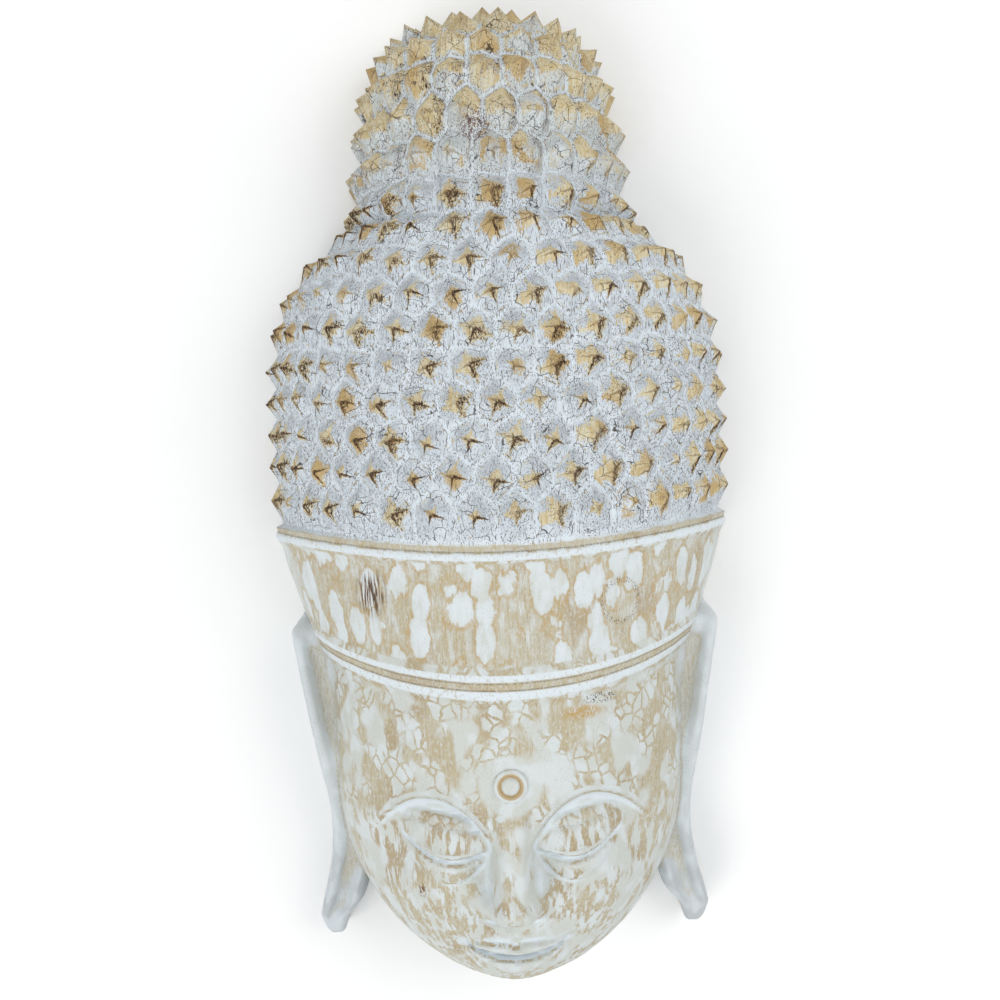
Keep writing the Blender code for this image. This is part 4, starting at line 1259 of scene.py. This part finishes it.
def band_ovals(f):
    """The band's ovals of wash, the lines round them, their whitest middles, and where the ovals lie."""
    outputs = f.cells((11, 20, 11), 4.0, f.warp)
    red = f.node("ShaderNodeSeparateColor", Color=outputs["Color"]).outputs[0]
    chosen = f.rise(red, 0.08, 0.12)
    reach = f.number("MULTIPLY_ADD", f.rise(f.wipe, 0.3, 0.7, 1.0, -1.0), 0.06, outputs["Distance"])
    body = f.between(f.line, *[level(share) for share in BAND_BODY])
    ovals = f.times(f.rise(reach, 0.53, 0.45), chosen)
    outline = f.times(f.between(reach, 0.46, 0.52, 0.55, 0.62), chosen, body)
    white = f.times(body, f.rise(reach, 0.50, 0.34, 0.55), chosen, f.rise(f.wipe, 0.70, 0.40))
    return ovals, outline, white, body


def kept_wash(f, ovals, body, band_white):
    """Where wash stays below the hairline: the band's ovals, crackle on the forehead, streaks lower down."""
    crackles = f.times(f.rise(f.edge, 0.04, 0.11), f.rise(f.zone, 0.38, 0.54))
    forehead = f.rise(f.line, level(0.185), level(0.215))
    haze = f.times(f.rise(f.cloud, 0.30, 0.60, 0.62, 0.12), f.rise(f.wipe, 0.36, 0.60))
    on_face = f.mix_number(forehead, f.rise(f.wipe, 0.45, 0.56), crackles)
    left_on = f.mix_number(body, on_face, f.highest(ovals, haze))
    veil = f.times(f.rise(f.wear, 0.50, 0.64, 0.85), f.choose(body, 0.35, 1.0))
    relief = f.highest(f.rise(f.fine, 0.20, 0.70), f.rise(f.fine, -0.30, -0.75), f.rise(f.broad, 0.12, 0.45))
    kept = f.highest(left_on, veil, relief, f.rise(f.z, 66 * MM, 34 * MM))
    kept = f.times(kept, f.choose(f.on_lines(f.line, BAND_BARE), 0.35, 1.0))
    kept = f.highest(kept, band_white, f.spot(URNA_HALO, 0.3))
    kept = f.mix_number(f.ear, kept, f.rise(f.broad, 0.60, -0.10, 1.0, 0.45))
    return f.mix_number(f.urna, kept, f.rise(f.fine, 0.45, 0.05))


def dark_marks_and_cracks(f, skin, dark_marks):
    """Dark marks of the curls, roof lines and streaks of the topknot, pits and hairline cracks."""
    roof = f.times(f.knot, f.between(f.tip, 0.05, 0.09, 0.12, 0.18), f.rise(f.along, 0, 2 * MM))
    streaks = f.times(
        f.knot,
        f.between(f.tip, 0.05, 0.12, 0.35, 0.60),
        f.rise(f.across, 2 * MM, 4 * MM),
        f.rise(f.draw(f.curl, 9.1), 0.45, 0.60),
        f.rise(f.scratch, 0.52, 0.40),
    )
    dark_marks = f.highest(dark_marks, f.times(streaks, 0.9))
    pits = f.times(f.rise(f.pit, 0.59, 0.67), f.rise(f.zone, 0.30, 0.60), f.choose(f.hair, 0.85, 0.15))
    cracks = f.times(f.rise(f.edge, 0.028, 0.008), f.rise(f.cloud, 0.43, 0.55), f.hair)
    cracks = f.times(cracks, f.rise(f.tip, 0.02, 0.10))
    band_lines = f.times(f.on_lines(f.line, BAND_DARK), f.band, f.rise(f.scratch, 0.62, 0.45), 0.6)
    return f.layered(
        skin,
        (f.times(roof, f.rise(f.ragged, 0.62, 0.46), 0.60), BROWN),
        (f.times(dark_marks, 0.85), BROWN),
        (f.times(dark_marks, f.rise(f.scratch, 0.64, 0.46, 0.95)), DARK),
        (pits, PIT),
        (f.times(f.highest(cracks, band_lines), 0.85), DARK),
    )


def stained(f, skin):
    """The few single marks: stains and pits on topknot, band and forehead, and a small knot in the cheek."""
    knot_stain, band_stain = f.spot(KNOT_STAIN, 0.35), f.spot(BAND_STAIN, 0.7)
    streak = f.noise((1.3, 12, 1.3), 55.0, 2.0)
    ring_line = f.between(f.far(RING_STAIN), 0.70, 0.86, 0.92, 1.10)
    return f.layered(
        skin,
        (f.times(knot_stain, f.rise(f.plus(f.pit, f.ragged), 0.92, 1.10, 0.85)), PURPLE),
        (f.times(band_stain, f.rise(streak, 0.44, 0.56, 0.85)), BROWN),
        (f.times(band_stain, f.rise(streak, 0.52, 0.60), f.rise(f.scratch, 0.66, 0.50, 0.8)), DARK),
        (f.times(ring_line, f.rise(f.ragged, 0.50, 0.62, 0.5)), OCHRE),
        (f.times(ring_line, f.rise(f.pit, 0.54, 0.60), 0.6), DARK),
        (f.times(f.spot(BROW_STAIN, 0.7), f.rise(f.ragged, 0.66, 0.44, 0.95)), OCHRE),
        (f.times(f.spot(DOT_STAIN, 0.4), f.rise(f.pit, 0.57, 0.61)), DARK),
        (f.times(f.spot(CHEEK_KNOT, 0.6), f.rise(f.ragged, 0.58, 0.46)), BROWN),
    )


def broken_edge(f, bare):
    """How bare the wood is once fine grain has broken the edge of the wash, crisper on the hair."""
    grain = f.times(f.rise(f.scratch, 0.25, 0.75, 0.40, -0.40), f.rise(bare, 0.0, 0.25))
    crisp = f.rise(f.plus(bare, grain), 0.30, 0.70)
    soft = f.rise(f.plus(bare, f.times(grain, 0.5)), 0.05, 0.95)
    return f.mix_number(f.hair, soft, crisp)


def matt_surface(f, bare):
    """Matt wash and rougher wood, with fine relief of specks and scratches."""
    f.feed(f.shader.inputs["Roughness"], f.choose(bare, 0.82, 0.66))
    f.shader.inputs["Specular IOR Level"].default_value = 0.3
    relief = f.plus(f.times(f.speck, 0.6), f.times(f.scratch, f.choose(bare, 0.9, 0.4)))
    bumps = f.node("ShaderNodeBump", Height=relief, Strength=0.5, Distance=0.4 * MM)
    f.feed(f.shader.inputs["Normal"], bumps.outputs[0])


def whitewashed_wood():
    """Golden wood under a cool white wash that has worn off the high places."""
    f = WoodFinish("whitewashed_wood")
    wood = bare_wood(f)
    ovals, outline, white, body = band_ovals(f)
    band_white = f.times(f.band, f.on_lines(f.line, BAND_WHITE), f.rise(f.ragged, 0.66, 0.50, 1.0, 0.35))
    in_groove = f.rise(f.plus(f.tip, f.rise(f.ragged, 0.3, 0.7, 0.06, -0.06)), 0.20, 0.0)
    below = f.times(f.lower, f.highest(f.rise(f.fine, 0.15, 0.7), white))
    wash = white_wash(f, f.highest(f.times(f.hair, in_groove), below, band_white))

    star, dark_marks = worn_stars(f)
    on_hair = f.times(f.hair, f.rise(f.tip, 0.22, 0.55), f.rise(f.stain, 0.58, 0.70, 0.8))
    uncovered = f.times(f.lower, f.less(1.0, kept_wash(f, ovals, body, band_white)))
    bare = broken_edge(f, f.highest(star, worn_topknot(f), on_hair, uncovered))

    # A thin veil of wash stays on the wood, and the ring of the round mark is worn
    urna_ring = f.between(f.far(URNA_RING), 0.50, 0.60, 0.74, 0.84)
    skin = f.layered(
        f.mix(bare, wash, f.mix(f.choose(f.hair, HAIR_VEIL, LOWER_VEIL), wood, VEIL)),
        (f.times(outline, f.band, f.rise(f.scratch, 0.70, 0.40, 0.60)), OCHRE),
        (f.times(f.lower, bare, f.rise(f.ragged, 0.50, 0.66, 0.40)), WASH_LOWER),
        (f.times(f.urna, urna_ring, 0.75), OCHRE),
    )
    skin = stained(f, dark_marks_and_cracks(f, skin, dark_marks))

    # The hollow and the flat back are bare wood
    back = f.highest(f.mark("inside"), f.rise(f.z, 0.8 * MM, 0.3 * MM))
    f.feed(f.shader.inputs["Base Color"], f.mix(f.times(back, 0.9), skin, wood))
    matt_surface(f, bare)
    return f.material


def floor_material():
    """Pale matt floor with a very faint mottle."""
    f = Finish("pale_floor")
    mottle = f.rise(f.noise((50, 50, 50), 0.0, 3.0), 0.3, 0.7, 0.3)
    f.feed(f.shader.inputs["Base Color"], f.mix(mottle, FLOOR_COLOUR, FLOOR_MOTTLE))
    f.shader.inputs["Roughness"].default_value = 0.9
    f.shader.inputs["Specular IOR Level"].default_value = 0.1
    return f.material


def add_floor():
    bm = bmesh.new()
    bmesh.ops.create_grid(bm, x_segments=8, y_segments=8, size=FLOOR_HALF_SIDE)
    floor = make_object("floor", bm)
    floor.data.materials.append(floor_material())
    floor.location.z = -FLOOR_DROP


def add_camera():
    data = bpy.data.cameras.new("camera")
    data.sensor_width = CAMERA_SENSOR
    data.lens = CAMERA_LENS
    camera = add_object("camera", data)
    tilt = Matrix.Rotation(math.radians(CAMERA_TILT), 4, "X")
    roll = Matrix.Rotation(math.radians(CAMERA_ROLL), 4, "Z")
    camera.matrix_world = Matrix.Translation(CAMERA_PLACE) @ tilt @ roll
    bpy.context.scene.camera = camera


def add_light(name, place, size, power):
    """A large square soft box that faces the mask."""
    data = bpy.data.lights.new(name, "AREA")
    data.shape = "SQUARE"
    data.size = size
    data.energy = power
    lamp = add_object(name, data)
    lamp.location = place
    lamp.rotation_mode = "QUATERNION"
    lamp.rotation_quaternion = (-Vector(place)).to_track_quat("-Z", "Y")


def add_world():
    world = bpy.data.worlds.new("studio")
    world.use_nodes = True
    background = world.node_tree.nodes["Background"]
    background.inputs["Color"].default_value = STUDIO_LIGHT
    background.inputs["Strength"].default_value = STUDIO_STRENGTH
    bpy.context.scene.world = world


add_camera()
mask = build_mask()
mask.data.materials.clear()
mask.data.materials.append(whitewashed_wood())
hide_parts("carved_mask")
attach(mask, "root")
add_floor()
add_world()
for soft_box in SOFT_BOXES:
    add_light(*soft_box)
bpy.context.scene.view_settings.view_transform = "Standard"
